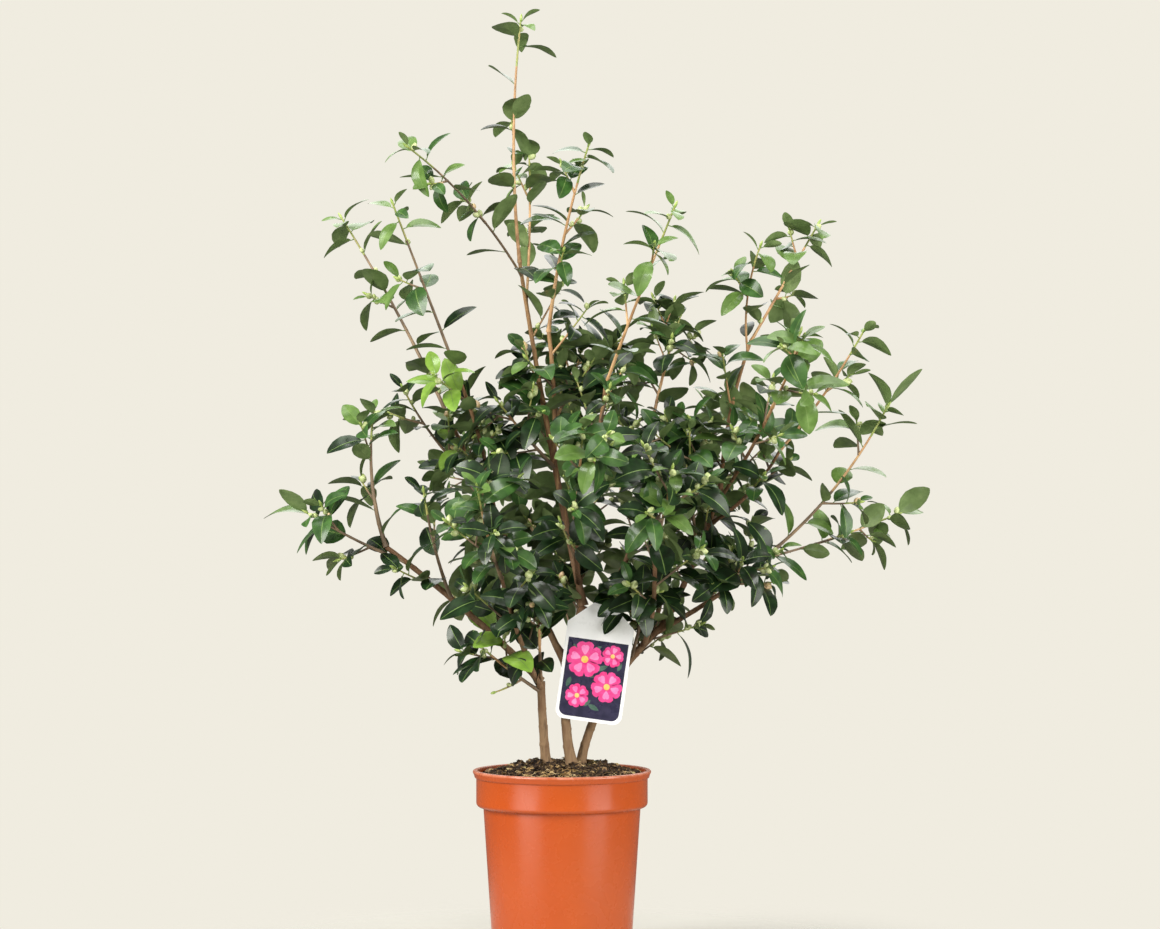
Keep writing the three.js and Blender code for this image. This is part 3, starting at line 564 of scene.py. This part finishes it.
# A spray is one leafy shoot, twig or spur: its mass, limb, seed and leaf spacing.
sprays = []
for number, (name, first, last, count, length) in enumerate(BOUGH_TWIGS):
    for i in range(count):
        seed, along = 3000 + 20 * number + i, first + (last - first) * (i + 0.5) / count
        foot = limbs[name].place(along)
        away = limbs[name].leaning(along, 50 + 20 * (chance(seed, 2) - 0.5),
                                   GOLDEN_TURN * i + 360 * chance(number, 1))
        reach = length * (0.7 + 0.5 * chance(seed, 3))
        twig = Limb(foot, foot + unit(away + (0, 0, 0.25)) * reach, (0, 0, -2), *BOUGH_TWIG_RADII)
        nearest = min(spines, key=lambda mass: shoot_gap(mass, twig.tip))
        if not hides_label(spine_of(twig)):
            sprays.append((nearest, twig, seed, TWIG_SPACING))
for number, (name, _, _, _, _, twigs, twig_length, spacing, spurs) in enumerate(MASSES, 1):
    sprays.append((name, limbs[name], number * 10, spacing))
    for i in range(twigs):
        for shorten in (1, 0.75, 0.5):
            twig = side_twig(limbs[name], i, twigs, twig_length * shorten, number)
            if in_own_space([twig.tip, twig.middle], name) and not hides_label(spine_of(twig)):
                break
        else:
            continue
        sprays.append((name, twig, number * 10 + i + 1, min(spacing, 19)))
        for j in range(spurs):
            seed = 1000 + number * 50 + i * 5 + j
            along = 0.3 + 0.4 * j + 0.15 * chance(seed, 2)
            foot = twig.place(along)
            away = twig.leaning(along, 46 + 14 * chance(seed, 3), 360 * chance(seed, 4) + 180 * j)
            reach = SPUR_LENGTH * (0.7 + 0.5 * chance(seed, 5)) * shorten
            spur = Limb(foot, foot + away * reach, (0, 0, -1), *SPUR_RADII)
            if in_own_space([spur.tip], name) and not hides_label(spine_of(spur)):
                sprays.append((name, spur, seed, SPUR_SPACING))

#   name, roughness, pattern and stops of the colour, sheen, relief
WOODS = [
    ("young_wood_brown", 0.6, ((60, 4, (1, 1, 0.4)), [(0.32, "54432f"), (0.5, "746049"),
     (0.68, "93795a")]), ((300,), 0.5, 0.7), ((900, 3, (1, 1, 0.3)), 0.4, 0.3)),
    ("young_wood_orange", 0.5, ((50, 4), [(0.32, "8f6a42"), (0.5, "b0875a"), (0.68, "c4a173")]),
     ((300,), 0.42, 0.6), ((900, 3, (1, 1, 0.3)), 0.3, 0.3)),
    ("new_wood_green", 0.45, ((80,), [(0.32, "76823c"), (0.5, "90984c"), (0.68, "a6985c")]),
     ((300,), 0.38, 0.5), ((900,), 0.2, 0.2)),
]
BROWN, ORANGE, NEW = range(3)

wood_parts = []
for name, limb, seed, _ in sprays:
    is_shoot, is_warm, is_high = limb is limbs[name], limb.tip[0] > -110, limb.tip[2] > 640
    rings, sides = max(6, int(limb.length / 3)), 10 if is_shoot else 7
    along = np.linspace(0, 1, rings)
    radii = limb.radius(along) * (1 + 0.4 * np.exp(-(along * limb.length / 4) ** 2))
    woods = []
    for ring in range(rings - 1):
        share = ring / (rings - 1)
        is_orange = is_warm and (is_high or (is_shoot and share > 0.45))
        is_new = share > (0.8 if is_shoot else 0.55)
        woods += [NEW if is_new else ORANGE if is_orange else BROWN] * sides
    wood_parts.append((*barked(limb, along, sides, radii, 0.03, 0.16, seed), woods + [BROWN, NEW]))
wood_finishes = [surface(new_finish(name, Roughness=dullness), *looks)
                 for name, dullness, *looks in WOODS]
piece_of("shoots_and_twigs", wood_parts, wood_finishes, crease=60)

# ---------------- label card
# A white plastic plant label that hangs by its strap from a bough. The card has rounded lower
# corners and slopes in to the strap, whose loop goes round the bough. A dark panel with
# blossoms in pink is printed on its front, and the strip over the panel is left plain.
CARD_WIDTH, CARD_HEIGHT, NECK_HEIGHT, STRAP_WIDTH, CARD_CORNER = 71, 103, 33, 18, 10
CARD_THICKNESS, CARD_LEAN = 0.8, 8
LOOP_BAND, LOOP_THICKNESS, LOOP_RADIUS = 9, 0.8, 5.6
HUNG_FROM, HUNG_AT, CLEARANCE = "bough_middle_right", 0.23, 0.3
PANEL_WIDTH, PANEL_HEIGHT, PANEL_MARGIN, PANEL_CORNER, INK = 64, 83, 3.6, 8, 0.05

hung_bough = limbs[HUNG_FROM]
loop_centre = hung_bough.place(HUNG_AT) - (
    0, LOOP_RADIUS - float(hung_bough.radius(HUNG_AT)) - 2 * CLEARANCE, 0)
card_front = loop_centre[1] - LOOP_RADIUS - LOOP_THICKNESS - CARD_THICKNESS / 2


def on_card(points, proud):
    """Points of the card's own plane, from the middle of its strap end, put where it hangs.
    `proud` is how far they stand in front of its printed face."""
    lean = math.radians(CARD_LEAN)
    x, z = np.asarray(points, float).T
    return np.stack([x * math.cos(lean) + z * math.sin(lean) + loop_centre[0],
                     np.full(len(x), card_front - proud),
                     z * math.cos(lean) - x * math.sin(lean) + loop_centre[2]], -1)


def plate(outline, back, front, ease=0.15):
    """A flat piece of the card between two depths, with eased edges. The outline runs
    anticlockwise as seen from the front."""
    outline, count = np.asarray(outline, float), len(outline)
    edge = unit(np.roll(outline, -1, axis=0) - np.roll(outline, 1, axis=0))
    inner = outline - np.stack([edge[:, 1], -edge[:, 0]], -1) * ease
    step = min(ease, (front - back) / 3)
    points = np.concatenate([on_card(loop, proud) for loop, proud in (
        (inner, back), (outline, back + step), (outline, front - step), (inner, front))])
    ends = [list(range(count))[::-1], list(range(3 * count, 4 * count))]
    return points, ends + ring_faces(4, count)


def tray(top, bottom, half, corner, steps):
    """A shape with a straight top corner on each side and rounded corners below."""
    return [(-half, top), *arc((-half + corner, bottom + corner), corner, 180, 270, steps),
            *arc((half - corner, bottom + corner), corner, 270, 360, steps), (half, top)]


def plastic_skin(name, low, high, pattern=(130, 2), coat_roughness=0.12):
    skin = new_finish(name, Roughness=0.3, Coat_Weight=0.3, Coat_Roughness=coat_roughness)
    return surface(skin, (pattern, [(0.35, low), (0.65, high)]), ((90,), 0.24, 0.34),
                   ((1200,), 0.05, 0.1))


shoulder = STRAP_WIDTH / 2 - NECK_HEIGHT
card_outline = (tray(shoulder, shoulder - CARD_HEIGHT, CARD_WIDTH / 2, CARD_CORNER, 12)
                + arc((0, 0), STRAP_WIDTH / 2, 0, 180, 24))
loop, loop_faces = turned([(LOOP_RADIUS + out, LOOP_BAND * end) for out, end in (
    (0, -0.5), (LOOP_THICKNESS, -0.5), (LOOP_THICKNESS, 0.5), (0, 0.5), (0, -0.5))], 48)
turn = Vector((0, 0, 1)).rotation_difference(Vector(hung_bough.frame(HUNG_AT)[0])).to_matrix()
card = piece_of("label_card", [(*plate(card_outline, -CARD_THICKNESS, 0), 0),
                               (np.array(loop) @ np.array(turn).T + loop_centre, loop_faces, 0)],
                [plastic_skin("white_label_plastic", "f4f3ef", "fbfaf7", (40,), 0.15)], 35)
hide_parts("label")

#   half of an outline: how far along and aside. The petal's tip is notched
PETAL = [(0.12, 0.16), (0.3, 0.5), (0.55, 0.86), (0.8, 1.0), (0.95, 0.72), (1.0, 0.36), (0.94, 0)]
PRINTED_LEAF = [(0, 0), (0.2, 0.7), (0.45, 1), (0.75, 0.7), (1, 0)]
#   middle of the blossom on the panel, size of its petals, first turn
BLOSSOMS = [((-12, -62), 19, 0.4), ((15, -88), 16.5, 1.0), ((17, -55), 11.5, 0.1),
            ((-15, -101), 12.5, 0.7)]
SPRIGS = [((0, -80), 2.6, 15), ((2, -72), 0.5, 13), ((-24, -82), 4.4, 12), ((24, -70), 1.2, 10),
          ((-2, -109), 5.9, 13), ((0, -104), 4.0, 10), ((-26, -47), 5.2, 9), ((4, -46), 3.8, 9)]
INKS = [("print_night_blue", "25233a", "343049"), ("print_pink", "e8387e", "f0549a"),
        ("print_pale_pink", "f377b4", "f69ac8"), ("print_yellow", "f2c25a", "f7dc8c"),
        ("print_green", "3d5a4c", "587464")]
BLUE, PINK, PALE_PINK, YELLOW, PRINT_GREEN = range(5)


def motif(half, foot, turn, length, width):
    """The outline of a printed petal or leaf that points at a turn from its foot."""
    along, aside = np.array([*half, *[(far, -out) for far, out in half[::-1] if out]]).T
    forward, sideways = along * length, aside * width / 2
    return np.stack([foot[0] + forward * math.cos(turn) + sideways * math.sin(turn),
                     foot[1] + forward * math.sin(turn) - sideways * math.cos(turn)], -1)[::-1]


panel_bottom = shoulder - CARD_HEIGHT + PANEL_MARGIN
panel = tray(panel_bottom + PANEL_HEIGHT, panel_bottom, PANEL_WIDTH / 2, PANEL_CORNER, 10)
prints = [(*plate(panel, 0, INK, 0.02), BLUE)]
for foot, turn, length in SPRIGS:
    leaf = motif(PRINTED_LEAF, foot, turn, length, length * 0.42)
    prints.append((*plate(leaf, INK, 0.08, 0.01), PRINT_GREEN))
for middle, size, first in BLOSSOMS:
    for number in range(5):
        turn, front = first + number * 2 * math.pi / 5, 0.1 + 0.02 * (number % 2)
        petal = motif(PETAL, middle, turn, size, size * 0.98)
        heart = (middle[0] + 0.2 * size * math.cos(turn), middle[1] + 0.2 * size * math.sin(turn))
        blush = motif(PETAL, heart, turn, size * 0.6, size * 0.45)
        prints += [(*plate(petal, INK, front, 0.01), PINK),
                   (*plate(blush, INK, front + 0.02, 0.01), PALE_PINK)]
    prints.append((*plate(circle(middle, size * 0.2, 18), INK, 0.18, 0.02), YELLOW))
piece_of("label_print", prints, [plastic_skin(*ink) for ink in INKS], 35)

# ---------------- leaves
# Camellia leaves are leathery and glossy, broadest below the middle, folded along a pale rib and
# bent down at the tip, with a finely toothed edge, on a short green stalk. Young leaves are small
# and crowd round each tip. Older ones stand singly down the twig, two fifths of a turn apart.
LEAF_LENGTH, LEAF_LENGTH_SPREAD, LEAF_WIDTH, LEAF_THICKNESS = 37.5, 0.44, 0.61, 0.5
LOW_LEAF_WIDTH = 0.04  # how much broader the lowest leaves are
STALK_LENGTH, STALK_RADIUS, STALK_SIDES = 4.5, 0.55, 6
LEAF_LEAN, LEAF_LEAN_SPREAD, LEAF_TURN = 64, 32, 144
LEAF_ROLL = 72  # degrees between the two furthest rolls of a blade
#   a rosette's leaves from the bud back: step, share of a full leaf's length, lean
ROSETTE = [(1.5, 0.5, 38), (2.5, 0.7, 60), (3.5, 0.8, 76), (4.5, 0.88, 84), (6.5, 0.94, 80),
           (9, 1.0, 72)]
LONG_TIPPED = ("leaves_far_left", "leaves_lowest_right", "leaves_low_far_right")
LONG_TIP_LEANS, LONG_TIP_SHARE = [14, 30], 1.15  # the two end leaves of those shoots
ROSETTE_DROOP = 0.22  # how much further the leaves next to the tip bend down
UPRIGHT_BELOW, UPRIGHT_CUT = 730, 0.24  # below this the leaves lean out less
SHADE_TOP, SHADE_DEPTH, OUTWARD_TURN = 660, 220, 0.85  # low leaves turn their faces outward
LOWEST_LEAF, BARE_FOOT = 300, 7  # over the floor, and on a twig: no leaf is lower than these
LEAF_GAP, ROSETTE_GAP = 3.6, 2.4  # how far a leaf keeps from what has grown already
LEADER_STRIP = 9  # half the width of the strip in which the leader shows
KEPT_OFF = 0.7  # the share of the leaves in front of the leader that are left out
BLADE_TRIAL = np.array([0.4, 0.62, 0.85, 1.08])  # where along a blade its place is tried

taken = np.zeros((40000, 3))
taken_count = 0


def take(points):
    global taken_count
    taken[taken_count:taken_count + len(points)] = points
    taken_count += len(points)


for limb in limbs.values():
    take(limb.place(np.linspace(0, 1, max(3, int(limb.length / 6)))))


def leaf_seats(limb, seed, spacing, has_long_tip):
    """The leaves of a spray, from its tip back: how far along, spin, lean and length."""
    first_spin, back, seats = 360 * chance(seed, 40), 0, []
    low = min(1, max(0, (UPRIGHT_BELOW - limb.place(1)[2]) / 100))
    for number in range(60):
        if number < len(ROSETTE):
            step, share, lean = ROSETTE[number]
        else:
            step, share, lean = spacing * (0.75 + 0.5 * chance(seed, 90 + number)), 1, LEAF_LEAN
        back += step
        if back > limb.length - BARE_FOOT:
            break
        lean += LEAF_LEAN_SPREAD * (chance(seed, 50 + number) - 0.5)
        lean *= 1 - UPRIGHT_CUT * low
        if has_long_tip and number < len(LONG_TIP_LEANS):
            lean, share = LONG_TIP_LEANS[number], LONG_TIP_SHARE
        size = share * LEAF_LENGTH * (1 + LEAF_LENGTH_SPREAD * (chance(seed, 60 + number) - 0.5))
        seats.append((1 - back / limb.length, first_spin + LEAF_TURN * number, lean, size))
    return seats


leader = limbs["bough_leader"].place(np.linspace(0, 0.85, 60))


def hides_leader(samples):
    """True where a leaf would hang in front of the leader."""
    nearest = leader[np.abs(leader[:, 2] - samples[:, 2:]).argmin(1)]
    x, y, z = (samples - nearest).T
    return bool(((abs(x) < LEADER_STRIP) & (y < 0) & (abs(z) < 8)).any())


def is_clear(root, away, side, length, gap=LEAF_GAP):
    """True where a blade would lie clear of what has grown and of the space before the label."""
    samples = np.array([root + away * length * f + side * length * s for f, s in
                        ((0.4, 0), (0.62, 0.13), (0.62, -0.13), (0.85, 0), (1.08, 0))])
    if samples[:, 2].min() < LOWEST_LEAF or hides_label(samples):
        return False
    return np.linalg.norm(taken[None, :taken_count] - samples[:, None], axis=2).min() > gap


grown = []  # mass, root, away, side, up, length, spray seed, leaf number
for name, limb, seed, spacing in sprays:
    seats = leaf_seats(limb, seed, spacing, name in LONG_TIPPED and limb is limbs[name])
    for number, (along, spin, lean, length) in enumerate(seats):
        root, heading = limb.place(along), limb.frame(along)[0]
        shaded = min(1, max(0, (SHADE_TOP - root[2]) / SHADE_DEPTH))
        upward_turn = 0.45 * heading + (0, 0, 1) + OUTWARD_TURN * shaded * unit(root * (1, 1, 0))
        roll = math.radians(LEAF_ROLL) * (chance(seed, 130 + number) - 0.5)
        for turn in (0, 35, -35, 75, -75, 120):
            away = limb.leaning(along, lean, spin + turn)
            up = unit(upward_turn - away * (upward_turn @ away))
            side = np.cross(up, away)
            side, up = (side * math.cos(roll) + up * math.sin(roll),
                        up * math.cos(roll) - side * math.sin(roll))
            samples = root + away * length * BLADE_TRIAL[:, None]
            if chance(seed, 250 + number) > 1 - KEPT_OFF and hides_leader(samples):
                continue
            gap = ROSETTE_GAP if number < len(ROSETTE) else LEAF_GAP
            if is_clear(root, away, side, length, gap):
                take(samples)
                grown.append((name, root, away, side, up, length, seed, number))
                break


def leaf_finish(name, low, middle, high, roughness=(0.34, 0.46)):
    """A leaf's skin: fine mottling, leathery bumps and a waxy coat."""
    skin = new_finish(name, Roughness=0.38, Specular_IOR_Level=0.24, Specular_Tint=(1, 1, 0.8, 1),
                      Coat_Weight=0.28, Coat_Roughness=0.14)
    return surface(skin, ((70, 4), [(0.3, low), (0.5, middle), (0.72, high)]),
                   ((160,), *roughness), ((320,), 0.14, 0.25))


LEAF_FINISHES = [
    leaf_finish("leaf_deep_green", "081207", "122711", "203a1a"),
    leaf_finish("leaf_green", "20371a", "2f4f20", "42662e"),
    leaf_finish("leaf_light_green", "435c26", "547032", "6a8546"),
    leaf_finish("leaf_fresh_green", "5a7a28", "6d8d34", "84a446"),
    leaf_finish("leaf_underside", "55683a", "667a48", "788a56", (0.5, 0.62)),
    leaf_finish("leaf_rib_and_stalk", "50692f", "627a3e", "748c50", (0.4, 0.5)),
]
DEEP, GREEN, LIGHT, FRESH, UNDERSIDE, RIB = range(6)
FRESH_SPRAYS = [((-150, 580), 60), ((-90, 330), 40), ((140, 600), 30)]  # x and z, and reach
DEEP_BELOW, LIGHT_FROM = 0.68, 1.12


def blade_class(root, seed, number):
    """The green of one leaf, dealt out by spray: darkest inside and low in the crown, partly the
    older leaves' deeper green and partly painted shade, and lightest on the outside and top, partly
    painted light.
    """
    for (x, z), reach in FRESH_SPRAYS:
        if math.hypot(root[0] - x, root[2] - z) < reach and chance(seed, 7) > 0.8:
            return FRESH
    # How far out and up a leaf stands: low gives the deep green, partly painted shade, and high the
    # light green, partly painted light.
    openness_to_light = min(1.22, math.hypot((root[0] + 10) / 300, root[1] / 250) + (root[2] - 515) / 440)
    pick = openness_to_light + 0.75 * (chance(seed, 8) - 0.5) + 0.5 * (chance(seed, 140 + number) - 0.5)
    if number < 2 and chance(seed, 9) > 0.5:
        pick += 0.4
    return DEEP if pick < DEEP_BELOW else GREEN if pick < LIGHT_FROM else LIGHT


# A blade is a closed tube of stations along it, with six points over it and four under it.
stations = np.array([0, 0.05, 0.13, 0.24, 0.36, 0.48, 0.6, 0.72, 0.83, 0.92, 0.975, 1])
breadth = np.sin(math.pi * stations ** 0.96) ** 0.62
breadth[0], breadth[-2], breadth[-1] = 0.06, 0.2, 0.03
breadth[1:-1] *= 1 + 0.018 * (-1) ** np.arange(len(stations) - 2)  # the toothed edge
around = np.array([-1, -0.5, -0.04, 0.04, 0.5, 1, 0.5, 0.04, -0.04, -0.5])
is_under = np.arange(10) > 5
last = (len(stations) - 1) * len(around)
blade_quads = np.array(
    ring_faces(len(stations), len(around)) + [(1, 9, 8, 2), (2, 8, 7, 3), (3, 7, 6, 4)]
    + [[last + corner for corner in face] for face in ((1, 2, 8, 9), (2, 3, 7, 8), (3, 4, 6, 7))])
blade_ends = np.array([[0, 9, 1], [last, last + 1, last + 9], [4, 6, 5],
                       [last + 4, last + 5, last + 6]])
BLADE = -1  # stands for the leaf's own green
STRIPS = [BLADE, BLADE, RIB, BLADE, BLADE] + [UNDERSIDE] * 5
quad_kinds = np.array(STRIPS * (len(stations) - 1) + [UNDERSIDE] * 6)
stalk_quads = np.array(ring_faces(3, STALK_SIDES, flipped=True))


def repeated(faces, count, points_each):
    """The faces of one leaf, for leaves whose points lie one after another."""
    starts = np.arange(count) * points_each
    return (faces[None] + starts[:, None, None]).reshape(-1, faces.shape[1]).tolist()


def blades(leaves):
    """The parts of a lot of leaves: their blades, and their stalks."""
    count = len(leaves)
    root, away, side, up, length = (
        np.array([leaf[i] for leaf in leaves]).reshape(count, 1, 1, -1) for i in range(1, 6))
    length = length[..., 0]
    breadth_draw, fold_draw, droop_draw, twist_draw = np.array(
        [[chance(leaf[6], 200 + 5 * leaf[7] + k) for leaf in leaves] for k in range(4)]
    )[..., None, None]
    low = np.clip((560 - root[..., 2]) / 150, 0, 1)
    width = length * LEAF_WIDTH * (0.85 + 0.3 * breadth_draw) * (1 + LOW_LEAF_WIDTH * low)
    fold = 0.12 + 0.36 * fold_draw
    bent = np.array([[[ROSETTE_DROOP * (1 <= leaf[7] < len(ROSETTE))]] for leaf in leaves])
    droop = length * (0.05 + bent + 0.36 * droop_draw ** 1.4)
    twist = (twist_draw - 0.5) * 0.9
    s, u, full = stations[None, :, None], around[None, None, :], breadth[None, :, None]
    half = width / 2 * full
    forward = STALK_LENGTH + length * (s - 0.12 * (droop / length) * s ** 3)
    sideways = half * u * np.cos(fold * 0.8)
    quilt = 0.22 * np.sin(2 * math.pi * 6.5 * s + 2.2 * np.abs(u)) * np.abs(u) * (1 - np.abs(u)) * 4
    body = LEAF_THICKNESS * (0.4 + 0.6 * full) * is_under
    keel = 0.35 * is_under * (np.abs(u) < 0.1) * (1 - s)
    lift = half * fold * (np.abs(u) - 0.45 * u ** 2) - droop * s ** 2 + quilt * full - body - keel
    turned_side = side * np.cos(twist * s)[..., None] + up * np.sin(twist * s)[..., None]
    points = (root + away * forward[..., None] + turned_side * sideways[..., None]
              + up * lift[..., None])
    greens = np.array([[blade_class(leaf[1], leaf[6], leaf[7])] for leaf in leaves])
    finishes = [*np.where(quad_kinds == BLADE, greens, quad_kinds).ravel(),
                *[UNDERSIDE] * (len(blade_ends) * count)]
    each = len(stations) * len(around)
    faces = repeated(blade_quads, count, each) + repeated(blade_ends, count, each)

    turns = np.arange(STALK_SIDES) * (2 * math.pi / STALK_SIDES)
    reach, girth, sag = np.array([(0, 0.5, 1), (1.25, 1.0, 0.8),
                                  (0, -0.25, -0.25)])[:, None, :, None]
    stalks = (root + away * (reach * (STALK_LENGTH + 1))[..., None]
              + side * (STALK_RADIUS * girth * np.cos(turns))[..., None]
              + up * (sag + STALK_RADIUS * girth * np.sin(turns))[..., None])
    return [(points.reshape(-1, 3), faces, finishes),
            (stalks.reshape(-1, 3), repeated(stalk_quads, count, 3 * STALK_SIDES), RIB)]


def side_of_plant(tip):
    return "left" if tip[0] < -60 else "right" if tip[0] > 125 else "middle"


for part in ("left", "middle", "right"):
    nodes = [row[0] for row in MASSES if side_of_plant(row[3]) == part]
    foliage = piece_of("foliage_" + part, blades([leaf for leaf in grown if leaf[0] in nodes]),
                       LEAF_FINISHES, crease=70)
    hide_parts(*nodes)

# ---------------- buds
# A slim pointed leaf bud ends every shoot and twig. Plump flower buds sit in the leaf joints
# behind it, alone or in pairs, wrapped in pale green scales, and a few show peach at the tip.
FLOWER_BUD, LEAF_BUD = (10.5, 3.9), (9, 1.6)  # length and radius
BUD_SIDES, BUD_SCALES, AXIL_BUDS = 12, 3, 0.16  # and the share of leaf joints lower down with one
BUD_RINGS = np.array([0, 0.08, 0.2, 0.34, 0.5, 0.66, 0.8, 0.9, 0.97])
BUD_GIRTH = np.array([0.3, 0.62, 0.86, 0.99, 1.0, 0.86, 0.62, 0.38, 0.14])
SLIM, PLUMP, PEACH = range(3)

last = (len(BUD_RINGS) - 1) * BUD_SIDES
bud_faces = ring_faces(len(BUD_RINGS), BUD_SIDES) + [
    [last + i, last + (i + 1) % BUD_SIDES, last + BUD_SIDES] for i in range(BUD_SIDES)
] + [list(range(BUD_SIDES))[::-1]]


def bud(foot, direction, length, radius, seed, finish):
    """A bud whose scales overlap in three steps."""
    across = unit(np.cross(direction, (0.31, 0.2, 0.93)))
    turns = np.arange(BUD_SIDES) * (2 * math.pi / BUD_SIDES)
    scale = (BUD_SCALES * BUD_RINGS[:, None] + 0.4 * np.cos(2 * turns[None] + seed)) % 1
    radii = radius * BUD_GIRTH[:, None] * (1.05 - 0.16 * scale)
    outward = (across * np.cos(turns)[:, None]
               + np.cross(direction, across) * np.sin(turns)[:, None])
    centres = foot + direction * (BUD_RINGS * length)[:, None]
    points = centres[:, None] + outward * radii[..., None]
    return np.concatenate([points.reshape(-1, 3), [foot + direction * length]]), bud_faces, finish


def flower_bud(joint, away, size, seed, finish):
    return bud(joint + away * 0.8, away, *[size * full for full in FLOWER_BUD], seed, finish)


def bud_finish(name, low, middle, high):
    skin = new_finish(name, Roughness=0.45, Coat_Weight=0.15, Coat_Roughness=0.3)
    return surface(skin, ((260,), [(0.34, low), (0.5, middle), (0.68, high)]),
                   ((300,), 0.38, 0.52), ((700,), 0.3, 0.25))


bud_parts = []
for name, limb, seed, spacing in sprays:
    heading = limb.frame(1)[0]
    bud_parts.append(bud(limb.tip - heading, heading, *LEAF_BUD, seed, SLIM))
    wanted = 3 if chance(seed, 30) > 0.7 else 2 if chance(seed, 30) > 0.35 else 1
    for number in range(wanted):
        back = 2 + 5 * number + 4 * chance(seed, 31 + number)
        if back > limb.length * 0.8:
            continue
        along = 1 - back / limb.length
        away = limb.leaning(along, 38 + 20 * chance(seed, 33 + number),
                            360 * chance(seed, 35 + number))
        if is_clear(limb.place(along) + away * 0.8, away, away, 7):
            bud_parts.append(flower_bud(
                limb.place(along), away, 0.62 + 0.45 * chance(seed, 37 + number), seed,
                PEACH if chance(seed, 39 + number) > 0.9 else PLUMP))
for name, root, away, side, up, length, seed, number in grown:
    if number > 1 and chance(seed, 260 + number) > 1 - AXIL_BUDS:
        bud_parts.append(flower_bud(root, unit(away + 1.1 * up),
                                    0.5 + 0.4 * chance(seed, 300 + number), seed, PLUMP))
piece_of("buds", bud_parts, [bud_finish("leaf_bud_green", "76903c", "93a850", "b3bc6c"),
                             bud_finish("flower_bud_green", "8fa05a", "b2bc7c", "ccd09a"),
                             bud_finish("flower_bud_peach", "b9a86c", "d8b888", "e6c8a4")],
         crease=60)

# ---------------- studio
# A pale round floor that fades out at its edge, a plain cream backdrop, and soft light: a broad
# box above the left shoulder, gentler ones to the right, above and in front, two small low ones,
# and one behind for the edges.
CREAM, WARM_WHITE = (0.871, 0.839, 0.745, 1), (1.0, 0.99, 0.9, 1)
LOOK_AT, FILL_LIGHT = Vector((0.03, 0, 0.52)), 0.2
FLOOR_RADIUS, FLOOR_HEIGHT, FADE_FROM, FADE_TO = 0.55, -0.0005, 0.2, 0.54

floor_points, floor_faces = turned([(r, FLOOR_HEIGHT) for r in (0, 0.3, FLOOR_RADIUS)], 96)
floor_mesh = bpy.data.meshes.new("studio_floor")
floor_mesh.from_pydata(floor_points, [], floor_faces)
paint = new_finish("pale_floor", Roughness=0.8)
distance = wire(paint, "VectorMath", {0: places(paint)}, operation="LENGTH")
fade = wire(paint, "MapRange", {
    "Value": distance.node.outputs["Value"], "From Min": FADE_FROM, "From Max": FADE_TO,
    "To Min": 1.0, "To Max": 0.0}, interpolation_type="SMOOTHSTEP")
surface(paint, ((3,), [(0.3, "b1aea4"), (0.7, "b5b2a8")]))
paint.node_tree.links.new(fade, shader_of(paint)["Alpha"])
floor_mesh.materials.append(paint)
studio_floor = put_in_scene("studio_floor", floor_mesh)

world = bpy.data.worlds.new("cream_studio")
bpy.context.scene.world = world
world.use_nodes = True
world_nodes, world_links = world.node_tree.nodes, world.node_tree.links
seen, lighting = world_nodes["Background"], world_nodes.new("ShaderNodeBackground")
seen.inputs["Color"].default_value = CREAM
lighting.inputs["Color"].default_value = WARM_WHITE
lighting.inputs["Strength"].default_value = FILL_LIGHT
either = world_nodes.new("ShaderNodeMixShader")
for output, socket in (
        (world_nodes.new("ShaderNodeLightPath").outputs["Is Camera Ray"], either.inputs["Fac"]),
        (lighting.outputs["Background"], either.inputs[1]),
        (seen.outputs["Background"], either.inputs[2]),
        (either.outputs["Shader"], world_nodes["World Output"].inputs["Surface"])):
    world_links.new(output, socket)

#   name, place, width and height of the box, watts
LIGHT_BOXES = [
    ("box_left", (-2.5, -1.7, 2.2), 1.7, 2.0, 191),
    ("box_right", (1.9, -1.0, 0.9), 1.1, 1.8, 42),
    ("box_above", (0.1, 0.2, 2.6), 2.2, 1.6, 40),
    ("box_front", (0.3, -3.4, 2.0), 1.3, 0.8, 66),
    ("box_back", (0.4, 2.8, 2.4), 3.0, 2.0, 50),
    ("box_low_left", (-0.95, -0.85, 0.0), 0.7, 0.9, 6.5),
    ("box_low_right", (1.0, -0.8, 0.0), 0.7, 0.9, 5),
]
for name, place, wide, high, watts in LIGHT_BOXES:
    lamp = bpy.data.lights.new(name, "AREA")
    lamp.shape, lamp.size, lamp.size_y, lamp.energy = "RECTANGLE", wide, high, watts
    box = put_in_scene(name, lamp)
    box.location = place
    box.rotation_euler = (LOOK_AT - Vector(place)).to_track_quat("-Z", "Y").to_euler()
    box.visible_camera = False

lens = bpy.data.cameras.new("studio_camera")
lens.lens, lens.sensor_width, lens.clip_end = 107.8, 36, 30
studio_camera = put_in_scene("studio_camera", lens)
studio_camera.location = (0.0192, -3.7, 0.525)
studio_camera.rotation_euler = (math.radians(90), 0, 0)
bpy.context.scene.camera = studio_camera
bpy.context.scene.view_settings.view_transform = "Standard"
